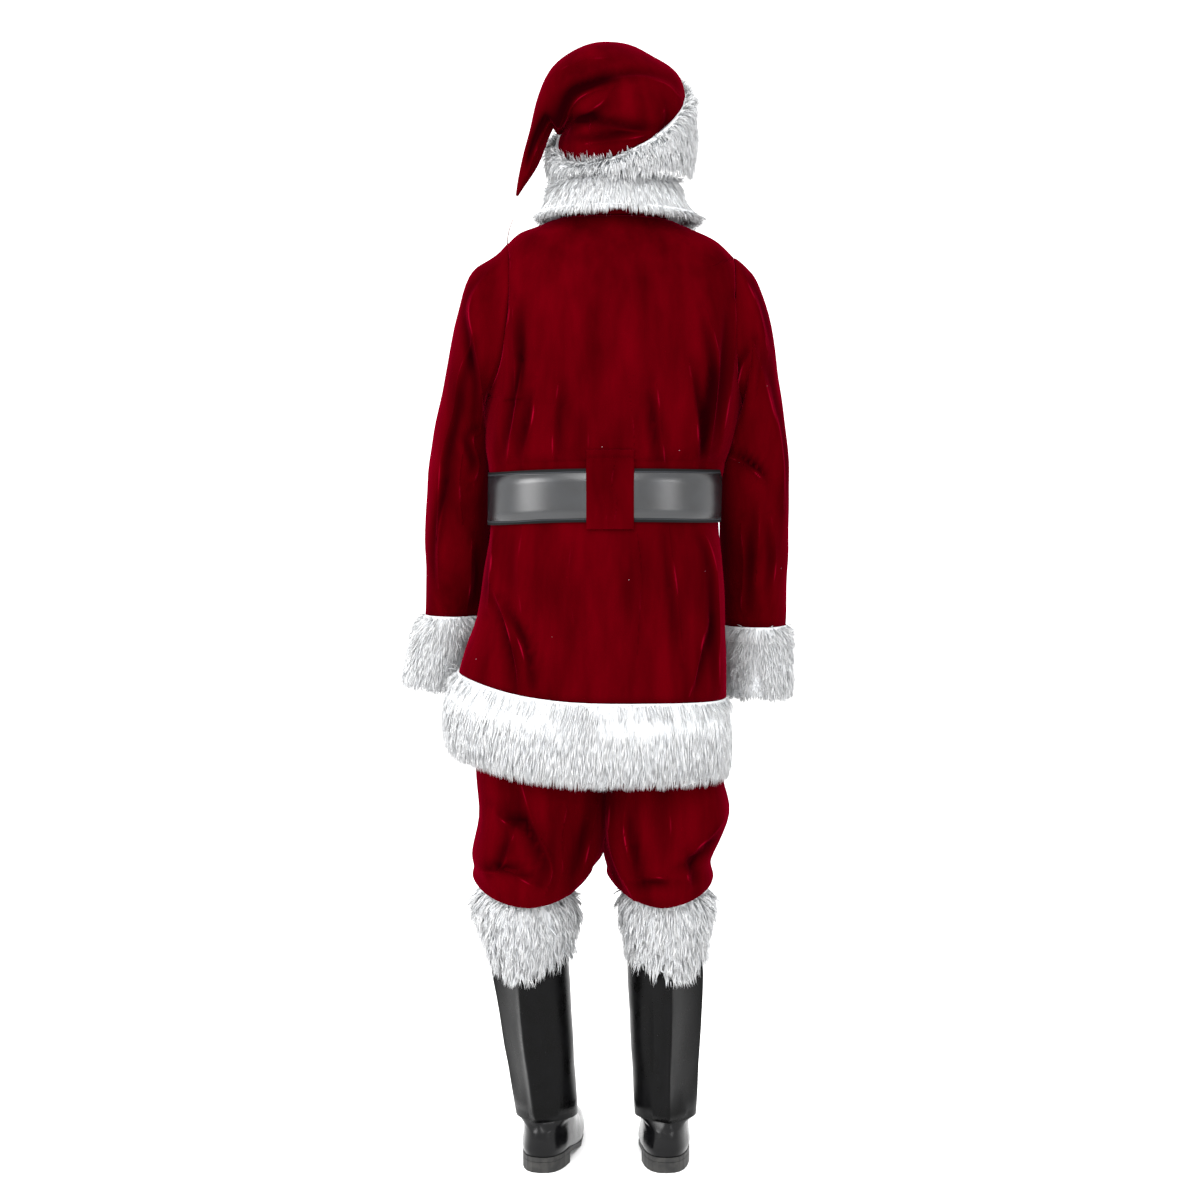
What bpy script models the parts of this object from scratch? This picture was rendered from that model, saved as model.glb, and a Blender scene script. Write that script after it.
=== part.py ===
"""Santa suit in its worn, hollow shape: jacket, belt, trousers, hat and boots, with no wearer.

Units are metres and Z is up. The front faces -Y and +X is the wearer's left. The origin is at the
base of the neck, between the shoulders, and the soles stand on FLOOR. Every cloth piece is a wall
between two copies of one surface, moved along its normals, so that neighbours stay parallel.
"""

import math

import bmesh
import bpy
import numpy as np

SUIT = "santa_suit"

FLOOR = -1.550
WALL = 0.002
SEAM = 0.0003
LEFT = 1
RIGHT = -1
HALF_TURN = math.pi
FULL_TURN = 2 * math.pi


# --- tables and curves -------------------------------------------------------------------------

def table(columns, rows):
    """A dictionary of arrays, one for each named column."""
    return dict(zip(columns.split(), np.array(rows, float).T))


def through(values, row):
    """A smooth curve through a column's values, read at fractional row numbers."""
    last = len(values) - 1
    low = np.clip(np.floor(row).astype(int), 0, last - 1)
    part = row - low
    here = values[low]
    there = values[low + 1]
    slope_here = (there - values[np.maximum(low - 1, 0)]) / 2
    slope_there = (values[np.minimum(low + 2, last)] - here) / 2
    rise = there - here
    return (here + part * slope_here
            + part**2 * (3 * rise - 2 * slope_here - slope_there)
            + part**3 * (slope_here + slope_there - 2 * rise))


def bump(distance):
    """1 at no distance, falling softly to 0 by about 2."""
    return np.exp(-distance**2)


def ease(part):
    """0 to 1 with flat ends."""
    part = np.clip(part, 0, 1)
    return part * part * (3 - 2 * part)


def unit(vectors):
    return vectors / np.linalg.norm(vectors, axis=-1, keepdims=True)


def fold_height(points, folds, depth_centre=0.0):
    """Height of the table's folds at each point. Each is a soft ridge, or a trough where its height
    is below 0, along a line seen from behind, on the back (side 1) or the front (side -1)."""
    total = np.zeros(points.shape[:-1])
    count = len(folds["height"])
    for number in range(count):
        fold = {name: folds[name][number] for name in folds}
        start = np.array([fold["x0"], fold["z0"]])
        along = np.array([fold["x1"], fold["z1"]]) - start
        length = np.linalg.norm(along)
        offset = points[..., [0, 2]] - start
        part = np.clip(offset @ along / length**2, 0, 1)
        away = np.linalg.norm(offset - part[..., None] * along, axis=-1)
        ends = 0.35 + 0.65 * np.sin(HALF_TURN * part)
        facing = ease(0.5 + fold["side"] * (points[..., 1] - depth_centre) / 0.08)
        total += fold["height"] * bump(away / fold["width"]) * ends * facing
    return total


# --- jacket body -------------------------------------------------------------------------------

# Half sizes of the jacket's outer face from the origin's axis, and the height of each ring at the
# wearer's left and right side and at the middle of the back and front. square is the exponent of
# the ring's outline, 2 for an ellipse.
JACKET = table("left right back front z_left z_right z_back z_front square", [
    (0.082, 0.092, 0.066, 0.066, 0.000, -0.003, 0.000, -0.045, 2.1),      # 0 neck seam
    (0.126, 0.148, 0.098, 0.098, -0.016, -0.026, -0.045, -0.080, 2.2),    # 1 shoulder
    (0.163, 0.196, 0.124, 0.126, -0.038, -0.060, -0.098, -0.125, 2.3),    # 2 shoulder point
    (0.184, 0.218, 0.136, 0.140, -0.105, -0.120, -0.160, -0.180, 2.4),    # 3 upper chest
    (0.194, 0.218, 0.139, 0.148, -0.195, -0.200, -0.230, -0.245, 2.4),    # 4 chest
    (0.197, 0.206, 0.141, 0.152, -0.285, -0.285, -0.300, -0.310, 2.4),    # 5 armpit
    (0.198, 0.186, 0.150, 0.158, -0.362, -0.362, -0.366, -0.372, 2.35),   # 6 fullness over the belt
    (0.195, 0.176, 0.141, 0.150, -0.405, -0.400, -0.396, -0.402, 2.3),    # 7 belt, upper edge
    (0.196, 0.174, 0.141, 0.151, -0.496, -0.491, -0.486, -0.492, 2.3),    # 8 belt, lower edge
    (0.204, 0.182, 0.150, 0.163, -0.560, -0.560, -0.560, -0.565, 2.25),   # 9 hip
    (0.219, 0.185, 0.158, 0.174, -0.645, -0.665, -0.660, -0.662, 2.2),    # 10 skirt
    (0.249, 0.188, 0.168, 0.186, -0.730, -0.772, -0.765, -0.765, 2.2),    # 11 hem of the red cloth
    (0.255, 0.189, 0.172, 0.190, -0.800, -0.836, -0.832, -0.832, 2.2),    # 12 middle of the hem trim
    (0.258, 0.190, 0.176, 0.194, -0.868, -0.903, -0.900, -0.900, 2.2),    # 13 end of the hem trim
])
NECK, ARM_TOP, ARM_BOTTOM, BELT_TOP, BELT_BOTTOM, HEM, TRIM_END = 0, 2.05, 5.05, 7, 8, 11, 13

# The largest folds of the jacket body, seen from behind.
JACKET_FOLDS = table("x0 z0 x1 z1 width height side", [
    (0.150, -0.130, 0.158, -0.290, 0.014, 0.006, 1),
    (0.138, -0.250, 0.176, -0.385, 0.013, 0.008, 1),
    (0.088, -0.250, 0.096, -0.385, 0.011, 0.005, 1),
    (-0.160, -0.150, -0.158, -0.385, 0.016, 0.008, 1),
    (-0.124, -0.260, -0.143, -0.385, 0.013, 0.006, 1),
    (-0.068, -0.285, -0.086, -0.390, 0.012, 0.004, 1),
    (0.186, -0.500, 0.196, -0.640, 0.012, 0.006, 1),
    (0.170, -0.610, 0.150, -0.770, 0.016, 0.008, 1),
    (-0.094, -0.490, -0.116, -0.720, 0.020, 0.007, 1),
    (-0.150, -0.490, -0.180, -0.760, 0.014, 0.005, 1),
    (0.020, -0.520, 0.030, -0.760, 0.030, 0.003, 1),
    (0.140, -0.150, 0.110, -0.370, 0.018, 0.006, -1),
    (-0.150, -0.150, -0.115, -0.370, 0.018, 0.006, -1),
    (0.120, -0.500, 0.165, -0.740, 0.020, 0.008, -1),
    (-0.100, -0.500, -0.125, -0.750, 0.020, 0.007, -1),
])


def ring_point(rings, turn, row):
    """A point of a stack of rings: turn 0 is the back, a quarter turn is the wearer's left."""
    turn, row = np.broadcast_arrays(turn, row)
    size = {name: through(rings[name], row) for name in rings}
    across = np.sin(turn)
    fore = np.cos(turn)
    power = 2 / size["square"]
    wide = np.where(across >= 0, size["left"], size["right"])
    deep = np.where(fore >= 0, size["back"], size["front"])
    side_height = np.where(across >= 0, size["z_left"], size["z_right"])
    fore_height = np.where(fore >= 0, size["z_back"], size["z_front"])
    height = side_height * across**2 + fore_height * fore**2
    return np.stack([wide * np.sign(across) * np.abs(across)**power,
                     deep * np.sign(fore) * np.abs(fore)**power, height], axis=-1)


def jacket(turn, row):
    """The jacket's outer face, with its folds raised outward."""
    turn, row = np.broadcast_arrays(turn, row)
    points = ring_point(JACKET, turn, row)
    outward = np.stack([np.sin(turn), np.cos(turn), np.zeros(turn.shape)], axis=-1)
    lift = fold_height(points, JACKET_FOLDS) * (1 - belt_squeeze(row))
    return points + outward * lift[..., None]


def belt_squeeze(row):
    """1 where the belt presses on what is beneath it."""
    above = ease((row - (BELT_TOP - 0.55)) / 0.4)
    below = ease(((BELT_BOTTOM + 0.55) - row) / 0.4)
    return above * below


# --- walls made from a surface -----------------------------------------------------------------

def normals(surface, turn, row):
    """Outward unit normals of a surface that turns from the back to the wearer's left."""
    step = 0.01
    round_way = surface(turn + step, row) - surface(turn - step, row)
    down_way = surface(turn, row + step) - surface(turn, row - step)
    return unit(np.cross(round_way, down_way))


def seam_cut(points, normal, gap):
    """Draws a grid's first and last columns in by half a seam, along the surface."""
    for edge, inside in ((0, 1), (-1, -2)):
        inward = points[:, inside] - points[:, edge]
        inward -= (inward * normal[:, edge]).sum(axis=1, keepdims=True) * normal[:, edge]
        points[:, edge] += unit(inward) * gap / 2
    return points


def wall_object(name, outer, inner, closed_round):
    """A closed wall between two grids of rows by columns: outer faces out and inner faces in."""
    rows, columns = outer.shape[:2]
    count = rows * columns
    steps = columns if closed_round else columns - 1
    points = np.concatenate([outer.reshape(-1, 3), inner.reshape(-1, 3)])
    faces = []

    def corner(row, column, layer):
        return layer * count + row * columns + column % columns

    for row in range(rows - 1):
        for step in range(steps):
            square = [(row, step), (row + 1, step), (row + 1, step + 1), (row, step + 1)]
            for half in (square[:3], square[2:] + square[:1]):
                faces.append([corner(*place, 0) for place in half])
                faces.append([corner(*place, 1) for place in reversed(half)])
    for row, way in ((0, 1), (rows - 1, -1)):
        for step in range(steps):
            rim = [corner(row, step, 0), corner(row, step + 1, 0),
                   corner(row, step + 1, 1), corner(row, step, 1)]
            faces.append(rim[::way])
    if not closed_round:
        for column, way in ((0, -1), (columns - 1, 1)):
            for row in range(rows - 1):
                rim = [corner(row, column, 0), corner(row + 1, column, 0),
                       corner(row + 1, column, 1), corner(row, column, 1)]
                faces.append(rim[::-way])
    return mesh_object(name, points, faces)


def mesh_object(name, points, faces):
    """An object of the named points and faces, with every face turned outward."""
    mesh = bpy.data.meshes.new(name)
    mesh.from_pydata([tuple(map(float, point)) for point in points], [], faces)
    body = bmesh.new()
    body.from_mesh(mesh)
    bmesh.ops.recalc_face_normals(body, faces=body.faces)
    body.to_mesh(mesh)
    body.free()
    for face in mesh.polygons:
        face.use_smooth = True
    made = bpy.data.objects.new(name, mesh)
    bpy.data.collections[SUIT].objects.link(made)
    return made


def layer(name, surface, turn, row, outside, inside, closed_round=False, seam=SEAM):
    """A wall on a surface, from inside to outside along its normals. turn and row are grids."""
    turn, row = np.broadcast_arrays(turn, row)
    middle = surface(turn, row)
    normal = normals(surface, turn, row)
    outer = middle + normal * (np.zeros(turn.shape) + outside)[..., None]
    inner = middle + normal * (np.zeros(turn.shape) + inside)[..., None]
    if not closed_round:
        outer = seam_cut(outer, normal, seam)
        inner = seam_cut(inner, normal, seam)
    return wall_object(name, outer, inner, closed_round)


def rows_between(first, last, count):
    return np.linspace(first, last, count)[:, None]


def turns_round(count):
    """Columns all the way round a tube, with the last meeting the first."""
    return np.linspace(0, FULL_TURN, count, endpoint=False)[None, :]


def painted(made, name, colour, roughness, metallic=0.0):
    """Gives an object a plain material. The colour is linear."""
    material = bpy.data.materials.get(name) or bpy.data.materials.new(name)
    material.use_nodes = True
    shader = material.node_tree.nodes["Principled BSDF"]
    shader.inputs["Base Color"].default_value = (*colour, 1)
    shader.inputs["Roughness"].default_value = roughness
    shader.inputs["Metallic"].default_value = metallic
    material.diffuse_color = (*colour, 1)
    made.data.materials.append(material)
    return made


def velvet(made):
    return painted(made, "red_velvet", (0.170, 0.001, 0.006), 0.85)


def plush(made):
    return painted(made, "white_plush", (0.86, 0.86, 0.87), 0.95)


def black_leather(made):
    return painted(made, "black_leather", (0.012, 0.012, 0.013), 0.35)


def shoe_leather(made):
    return painted(made, "shoe_leather", (0.008, 0.008, 0.009), 0.22)


def shoe_rubber(made):
    return painted(made, "shoe_rubber", (0.010, 0.010, 0.010), 0.6)


def brass(made):
    return painted(made, "brass", (0.62, 0.42, 0.16), 0.3, 1.0)


def cord_thread(made):
    return painted(made, "cord_thread", (0.78, 0.76, 0.72), 0.8)


# --- jacket pieces -----------------------------------------------------------------------------

# Half the angle that each armhole takes round the body, on the wearer's left and right.
ARM_ANGLE = {LEFT: math.radians(34), RIGHT: math.radians(30)}
ARM_STEPS = 10
SIDE_NAME = {LEFT: "left", RIGHT: "right"}


def body_rows():
    """Table rows of the jacket's rings of points: even over the shoulder, round the armhole, even below."""
    over = np.linspace(NECK, ARM_TOP, 5)
    beside = [arm_row(step) for step in range(1, ARM_STEPS)]
    below = np.concatenate([[ARM_BOTTOM, 5.7, 6.3, 6.8], np.linspace(BELT_TOP, HEM, 9)])
    return np.concatenate([over, beside, below])


def arm_row(step):
    """Row of the armhole's edge, step by step from its top to its bottom."""
    middle = (ARM_TOP + ARM_BOTTOM) / 2
    return middle - (ARM_BOTTOM - ARM_TOP) / 2 * math.cos(HALF_TURN * step / ARM_STEPS)


def arm_reach(row, side):
    """Angle from the side seam to the armhole's edge at each row, 0 above and below the armhole."""
    middle = (ARM_TOP + ARM_BOTTOM) / 2
    level = (row - middle) / ((ARM_BOTTOM - ARM_TOP) / 2)
    return ARM_ANGLE[side] * np.sqrt(np.clip(1 - level**2, 0, 1))


def body_panel(name, first_edge, last_edge, columns):
    """A panel between two edges, each given as a function from rows to turns."""
    row = body_rows()[:, None]
    share = np.linspace(0, 1, columns)[None, :]
    turn = first_edge(row) * (1 - share) + last_edge(row) * share
    return velvet(layer(name, jacket, turn, row, 0, -WALL))


BACK_COLUMNS, FRONT_COLUMNS = 17, 9


def jacket_body():
    quarter = HALF_TURN / 2
    body_panel("jacket_back",
               lambda row: -quarter + arm_reach(row, RIGHT),
               lambda row: quarter - arm_reach(row, LEFT), BACK_COLUMNS)
    body_panel("jacket_front_left",
               lambda row: quarter + arm_reach(row, LEFT),
               lambda row: np.full_like(row, HALF_TURN), FRONT_COLUMNS)
    body_panel("jacket_front_right",
               lambda row: np.full_like(row, HALF_TURN),
               lambda row: 3 * quarter - arm_reach(row, RIGHT), FRONT_COLUMNS)


# Sleeve rings below the armhole: their outer and inner points seen from behind, and the middle and
# half size of the ring from front to back. The last three rows are the cuff's.
SLEEVE = {
    LEFT: table("x_out z_out x_in z_in y deep", [
        (0.1905, -0.066, 0.1850, -0.297, 0.000, 0.082),
        (0.2340, -0.098, 0.1940, -0.312, 0.000, 0.080),
        (0.2500, -0.158, 0.1990, -0.332, -0.004, 0.077),
        (0.2630, -0.227, 0.1990, -0.360, -0.012, 0.075),
        (0.2750, -0.291, 0.1990, -0.394, -0.020, 0.073),
        (0.2890, -0.356, 0.2000, -0.430, -0.032, 0.071),
        (0.3000, -0.421, 0.1980, -0.470, -0.046, 0.069),
        (0.3060, -0.486, 0.1980, -0.515, -0.058, 0.067),
        (0.3075, -0.551, 0.2015, -0.562, -0.076, 0.065),
        (0.3080, -0.610, 0.2080, -0.608, -0.098, 0.062),
        (0.3100, -0.648, 0.2150, -0.648, -0.114, 0.058),
        (0.3240, -0.690, 0.2310, -0.692, -0.121, 0.056),
        (0.3360, -0.735, 0.2440, -0.738, -0.138, 0.054),
        (0.3470, -0.775, 0.2570, -0.785, -0.154, 0.052),
    ]),
    RIGHT: table("x_out z_out x_in z_in y deep", [
        (-0.2160, -0.074, -0.2110, -0.297, 0.000, 0.079),
        (-0.2370, -0.102, -0.2130, -0.310, 0.000, 0.078),
        (-0.2550, -0.155, -0.2030, -0.330, -0.004, 0.076),
        (-0.2670, -0.227, -0.1930, -0.358, -0.012, 0.075),
        (-0.2750, -0.291, -0.1860, -0.392, -0.020, 0.073),
        (-0.2840, -0.356, -0.1825, -0.428, -0.032, 0.071),
        (-0.2910, -0.421, -0.1800, -0.468, -0.046, 0.069),
        (-0.2930, -0.486, -0.1795, -0.512, -0.054, 0.067),
        (-0.2930, -0.551, -0.1815, -0.560, -0.066, 0.065),
        (-0.2925, -0.612, -0.1850, -0.614, -0.080, 0.062),
        (-0.2925, -0.664, -0.1900, -0.664, -0.092, 0.058),
        (-0.2950, -0.705, -0.1960, -0.706, -0.100, 0.056),
        (-0.2970, -0.750, -0.2000, -0.752, -0.110, 0.055),
        (-0.2980, -0.790, -0.2020, -0.792, -0.120, 0.054),
    ]),
}
SLEEVE_END, CUFF_END = 10, 13
ARM_FADE = 3.0

SLEEVE_FOLDS = {
    LEFT: table("x0 z0 x1 z1 width height side", [
        (0.215, -0.110, 0.226, -0.200, 0.012, 0.006, 1),
        (0.220, -0.205, 0.188, -0.340, 0.012, 0.007, 1),
        (0.246, -0.250, 0.290, -0.490, 0.015, 0.007, 1),
        (0.225, -0.430, 0.280, -0.470, 0.012, 0.006, 1),
        (0.240, -0.250, 0.270, -0.420, 0.016, 0.006, -1),
    ]),
    RIGHT: table("x0 z0 x1 z1 width height side", [
        (-0.224, -0.214, -0.195, -0.280, 0.012, 0.006, 1),
        (-0.225, -0.214, -0.272, -0.350, 0.014, 0.007, 1),
        (-0.272, -0.350, -0.288, -0.460, 0.014, 0.006, 1),
        (-0.200, -0.385, -0.250, -0.412, 0.012, 0.007, 1),
        (-0.240, -0.240, -0.272, -0.420, 0.016, 0.006, -1),
    ]),
}


def armhole_turn(round_way, side):
    """Turn and row on the jacket of a point of the armhole: 0 its top, a quarter its rear edge."""
    middle = (ARM_TOP + ARM_BOTTOM) / 2
    row = middle - (ARM_BOTTOM - ARM_TOP) / 2 * np.cos(round_way)
    return side * (HALF_TURN / 2 - ARM_ANGLE[side] * np.sin(round_way)), row


def sleeve_surface(side):
    """The sleeve's outer face: row 0 is its first ring, and below 0 it runs back to the armhole."""
    rings = SLEEVE[side]

    def ring_middle(row):
        size = {name: through(rings[name], row) for name in rings}
        return np.stack([(size["x_out"] + size["x_in"]) / 2, size["y"],
                         (size["z_out"] + size["z_in"]) / 2], axis=-1)

    def ring(round_way, row):
        size = {name: through(rings[name], row) for name in rings}
        up = np.cos(round_way)
        reach = np.stack([up * (size["x_out"] - size["x_in"]) / 2,
                          np.sin(round_way) * size["deep"],
                          up * (size["z_out"] - size["z_in"]) / 2], axis=-1)
        return ring_middle(row) + reach

    def surface(round_way, row):
        round_way, row = np.broadcast_arrays(round_way, row)
        points = ring(round_way, np.maximum(row, 0))
        turn, jacket_row = armhole_turn(round_way, side)
        edge = jacket(turn, jacket_row)
        first = ring(round_way, np.zeros_like(row))
        stay = 1 - ease((row + 1) / (ARM_FADE + 1))
        middle = edge.mean(axis=tuple(range(edge.ndim - 1)))
        shape = (edge - middle) - (first - first.mean(axis=tuple(range(first.ndim - 1))))
        blended = points + shape * stay[..., None]
        start = np.clip(-row, 0, 1)[..., None]
        push = 0.002 + 0.003 * (1 - np.cos(round_way))
        beyond = edge + normals(jacket, turn, jacket_row) * push[..., None]
        blended = blended * (1 - start)**2 + beyond * 2 * start * (1 - start) + edge * start**2
        outward = unit(blended - ring_middle(np.maximum(row, 0)))
        lift = fold_height(blended, SLEEVE_FOLDS[side], -0.02) * ease(row / 2)
        return blended + outward * lift[..., None]

    return surface


def sleeves():
    for side in (LEFT, RIGHT):
        surface = sleeve_surface(side)
        round_way = np.linspace(0, FULL_TURN, 2 * ARM_STEPS, endpoint=False)[None, :]
        row = np.concatenate([[-1, -0.5, 0, 0.5], np.linspace(1, SLEEVE_END, 10)])[:, None]
        outer, inner = sleeve_grids(surface, round_way, row, side)
        velvet(wall_object(f"sleeve_{SIDE_NAME[side]}", outer, inner, True))


def sleeve_grids(surface, round_way, row, side):
    """Outer and inner points of a sleeve. Its first ring is the armhole's edge, drawn in by a seam."""
    round_way, row = np.broadcast_arrays(round_way, row)
    middle = surface(round_way, row)
    normal = sleeve_normals(surface, round_way, row)
    turn, jacket_row = armhole_turn(round_way[0], side)
    edge = jacket(turn, jacket_row)
    edge_normal = normals(jacket, turn, jacket_row)
    inward = edge.mean(axis=0) - edge
    inward -= (inward * edge_normal).sum(axis=1, keepdims=True) * edge_normal
    drawn = unit(inward) * 2 * SEAM
    outer = middle.copy()
    inner = middle - normal * WALL
    outer[0] = edge + drawn
    level = (1 + np.cos(round_way[0])) / 2
    first_normal = unit(edge_normal * level[:, None] - unit(inward))
    inner[0] = outer[0] - first_normal * WALL
    inner[1] = outer[1] - unit(first_normal + normal[1]) * WALL
    return outer, inner


def sleeve_normals(surface, round_way, row):
    """Unit normals that point away from the sleeve's own middle."""
    step = 0.02
    across = surface(round_way + step, row) - surface(round_way - step, row)
    along = surface(round_way, row + step) - surface(round_way, row - step)
    normal = unit(np.cross(across, along))
    middle = surface(round_way, row).mean(axis=1, keepdims=True)
    away = surface(round_way, row) - middle
    facing = (normal * away).sum(axis=-1, keepdims=True).mean(axis=1, keepdims=True)
    return normal * np.sign(facing)


def cuffs():
    """A plush tube at the end of each sleeve, rounded at its ends."""
    pile = {LEFT: 0.014, RIGHT: 0.012}
    for side in (LEFT, RIGHT):
        surface = sleeve_surface(side)
        row = np.array([SLEEVE_END + 0.012, 10.2, 10.8, 12.0, 12.7, CUFF_END])[:, None]
        lift = np.array([0.3, 0.8, 1.0, 1.0, 0.9, 0.4])[:, None] * pile[side]
        round_way = np.linspace(0, FULL_TURN, 16, endpoint=False)[None, :]
        round_way, row = np.broadcast_arrays(round_way, row)
        middle = surface(round_way, row)
        normal = sleeve_normals(surface, round_way, row)
        plush(wall_object(f"plush_cuff_{SIDE_NAME[side]}", middle + normal * lift[..., None],
                          middle - normal * WALL, True))


# --- trims and collar on the jacket --------------------------------------------------------------

def pile_lift(share, pile, edge=0.2):
    """Thickness of a plush trim across its width, rounded off at both edges."""
    return pile * (edge + (1 - edge) * np.sqrt(np.sin(HALF_TURN * np.clip(share, 0.001, 0.999))))


HEM_PILE = {LEFT: 0.022, RIGHT: 0.012}
BAND_HALF = 0.035
BAND_TOP_ROW = 0.45
BAND_PILE = 0.020
BAND_UNDER_BELT = 0.006


def hem_trim():
    """The plush band sewn to the lower edge, its two ends meeting at the middle of the front."""
    row = rows_between(HEM + 0.012, TRIM_END, 5)
    turn = np.linspace(-HALF_TURN, HALF_TURN, 29)[None, :]
    share = (row - row[0]) / (row[-1] - row[0])
    leftness = (1 + np.sin(turn)) / 2
    pile = HEM_PILE[RIGHT] + (HEM_PILE[LEFT] - HEM_PILE[RIGHT]) * ease(leftness * 2)
    plush(layer("plush_hem", jacket, turn, row, pile_lift(share, pile), -WALL))


def front_band():
    """The straight plush band down the front, over the opening, pressed flat beneath the belt."""
    row = body_rows()
    row = np.concatenate([row[(row > BAND_TOP_ROW) & (row < HEM)], [HEM - 0.02]])[:, None]
    share = np.linspace(0, 1, 5)[None, :]
    wide = through(JACKET["left"], row)
    half_angle = np.arcsin((BAND_HALF / wide) ** (through(JACKET["square"], row) / 2))
    turn = HALF_TURN + half_angle * (2 * share - 1)
    pile = BAND_PILE + (BAND_UNDER_BELT - BAND_PILE) * belt_squeeze(row)
    ends = ease((row - BAND_TOP_ROW) / 0.8) * ease((HEM + 0.1 - row) / 0.3)
    lift = 2 * SEAM + pile_lift(share, 1.0) * pile * (0.4 + 0.6 * ends)
    plush(layer("plush_front_band", jacket, turn, row, lift, 2 * SEAM))


STAND_INSIDE = {LEFT: 0.0016, RIGHT: 0.0050}
STAND_BELOW = 0.0020
STAND_ROWS = (0, 0.5, 0.975)


def neck_surface(turn, row):
    """The collar stand: row 1 is the neck seam, row 0 meets the plush collar at its top edge."""
    turn, row = np.broadcast_arrays(turn, row)
    seam = ring_point(JACKET, turn, np.zeros(turn.shape))
    top = collar_surface(turn, np.zeros(turn.shape))
    inside = STAND_INSIDE[LEFT] + (STAND_INSIDE[RIGHT] - STAND_INSIDE[LEFT]) * ease(-2 * np.sin(turn))
    top += np.stack([-np.sin(turn) * inside, -np.cos(turn) * inside,
                     np.full(turn.shape, -STAND_BELOW)], axis=-1)
    return top * (1 - row[..., None]) + seam * row[..., None]


def collar():
    turn = np.linspace(-HALF_TURN, HALF_TURN, 25)[None, :]
    row = np.array(STAND_ROWS)[:, None]
    velvet(layer("collar_stand", neck_surface, turn, row, 0, -WALL))
    row = rows_between(0, 4, 6)
    plush(layer("plush_collar", collar_surface, turn, row, 0, collar_depth(row)))


# The fold-over plush collar's outer face, from its top edge to its flared lower edge.
COLLAR = table("left right back front z_left z_right z_back z_front square", [
    (0.088, 0.098, 0.076, 0.078, 0.051, 0.064, 0.0700, 0.018, 2.1),
    (0.100, 0.108, 0.089, 0.092, 0.047, 0.058, 0.0640, 0.012, 2.1),
    (0.107, 0.117, 0.096, 0.102, 0.030, 0.038, 0.0440, -0.004, 2.1),
    (0.114, 0.130, 0.101, 0.110, 0.012, 0.014, 0.0220, -0.026, 2.1),
    (0.119, 0.143, 0.104, 0.114, 0.000, -0.004, 0.0060, -0.044, 2.1),
])


def collar_surface(turn, row):
    return ring_point(COLLAR, turn, row)


def collar_depth(row):
    """How far the collar's inner face lies inside its outer one, thinner at both edges."""
    return -0.004 - 0.013 * np.sin(HALF_TURN * np.clip(row / 4, 0, 1)) ** 0.7


# --- belt ----------------------------------------------------------------------------------------

BELT_THICK = 0.003
BELT_OFF = 0.0018
BELT_OVER_BAND = 0.0070
BELT_STEP = FULL_TURN / 48
BELT_START_STEPS, BELT_END_STEPS = 2, 5
BUCKLE_WIDE, BUCKLE_TALL = 0.116, 0.106
BUCKLE_BAR, BUCKLE_THICK = 0.011, 0.004
BUCKLE_SUNK = 0.0020


def belt_base(turn):
    """Lift of the belt's inner face off the jacket: more over the front band."""
    from_front = (turn + HALF_TURN) % FULL_TURN
    from_front = np.minimum(from_front, FULL_TURN - from_front)
    return BELT_OFF + BELT_OVER_BAND * (1 - ease((from_front - 0.24) / 0.22))


def belt_surface(turn, row):
    """A smooth face round the jacket at belt height, without the jacket's folds."""
    return ring_point(JACKET, turn, row)


def belt():
    """One strap: it starts at the right front, goes round the back, and its free end lies over it."""
    steps = np.arange(-24 - BELT_START_STEPS, 25 + BELT_END_STEPS)
    turn = (steps * BELT_STEP)[None, :]
    row = rows_between(BELT_TOP + 0.04, BELT_BOTTOM - 0.04, 2)
    over = ease((turn - (HALF_TURN - 0.75)) / 0.42)
    inside = np.broadcast_to(belt_base(turn) + over * (BELT_THICK + 2 * SEAM), (2, len(steps)))
    black_leather(layer("belt_strap", belt_surface, turn, row, inside + BELT_THICK, inside))


def buckle():
    """A plain rectangular frame on the front of the belt, with one prong across it."""
    middle = (JACKET["z_front"][BELT_TOP] + JACKET["z_front"][BELT_BOTTOM]) / 2
    front_lift = BELT_OFF + BELT_OVER_BAND + 2 * BELT_THICK + 4 * SEAM
    back = -(JACKET["front"][BELT_BOTTOM] + front_lift - BUCKLE_SUNK)
    frame = frame_object("buckle_frame", back, middle)
    brass(frame)
    prong = box_object("buckle_prong", (BUCKLE_WIDE - 0.010, 0.0035, 0.007),
                       (0.0, back - BUCKLE_THICK - 0.0035 / 2 - SEAM, middle))
    brass(prong)


def frame_object(name, back, middle):
    """A flat frame with rounded corners, its back face at the given depth."""
    made = box_object(name, (BUCKLE_WIDE, BUCKLE_THICK, BUCKLE_TALL), (0, back - BUCKLE_THICK / 2, middle))
    hole = box_object(name + "_hole", (BUCKLE_WIDE - 2 * BUCKLE_BAR, 0.05, BUCKLE_TALL - 2 * BUCKLE_BAR),
                      (0, back, middle))
    for collection in hole.users_collection:
        collection.objects.unlink(hole)
    bpy.data.collections["cutters"].objects.link(hole)
    hole.hide_render = True
    hole.display_type = "WIRE"
    cut = made.modifiers.new("opening", "BOOLEAN")
    cut.operation = "DIFFERENCE"
    cut.solver = "EXACT"
    cut.object = hole
    edge = made.modifiers.new("edges", "BEVEL")
    edge.width = 0.001
    edge.segments = 1
    return made


def box_object(name, size, place):
    body = bmesh.new()
    bmesh.ops.create_cube(body, size=1)
    bmesh.ops.scale(body, vec=size, verts=body.verts)
    mesh = bpy.data.meshes.new(name)
    body.to_mesh(mesh)
    body.free()
    made = bpy.data.objects.new(name, mesh)
    made.location = place
    bpy.data.collections[SUIT].objects.link(made)
    return made


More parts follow.
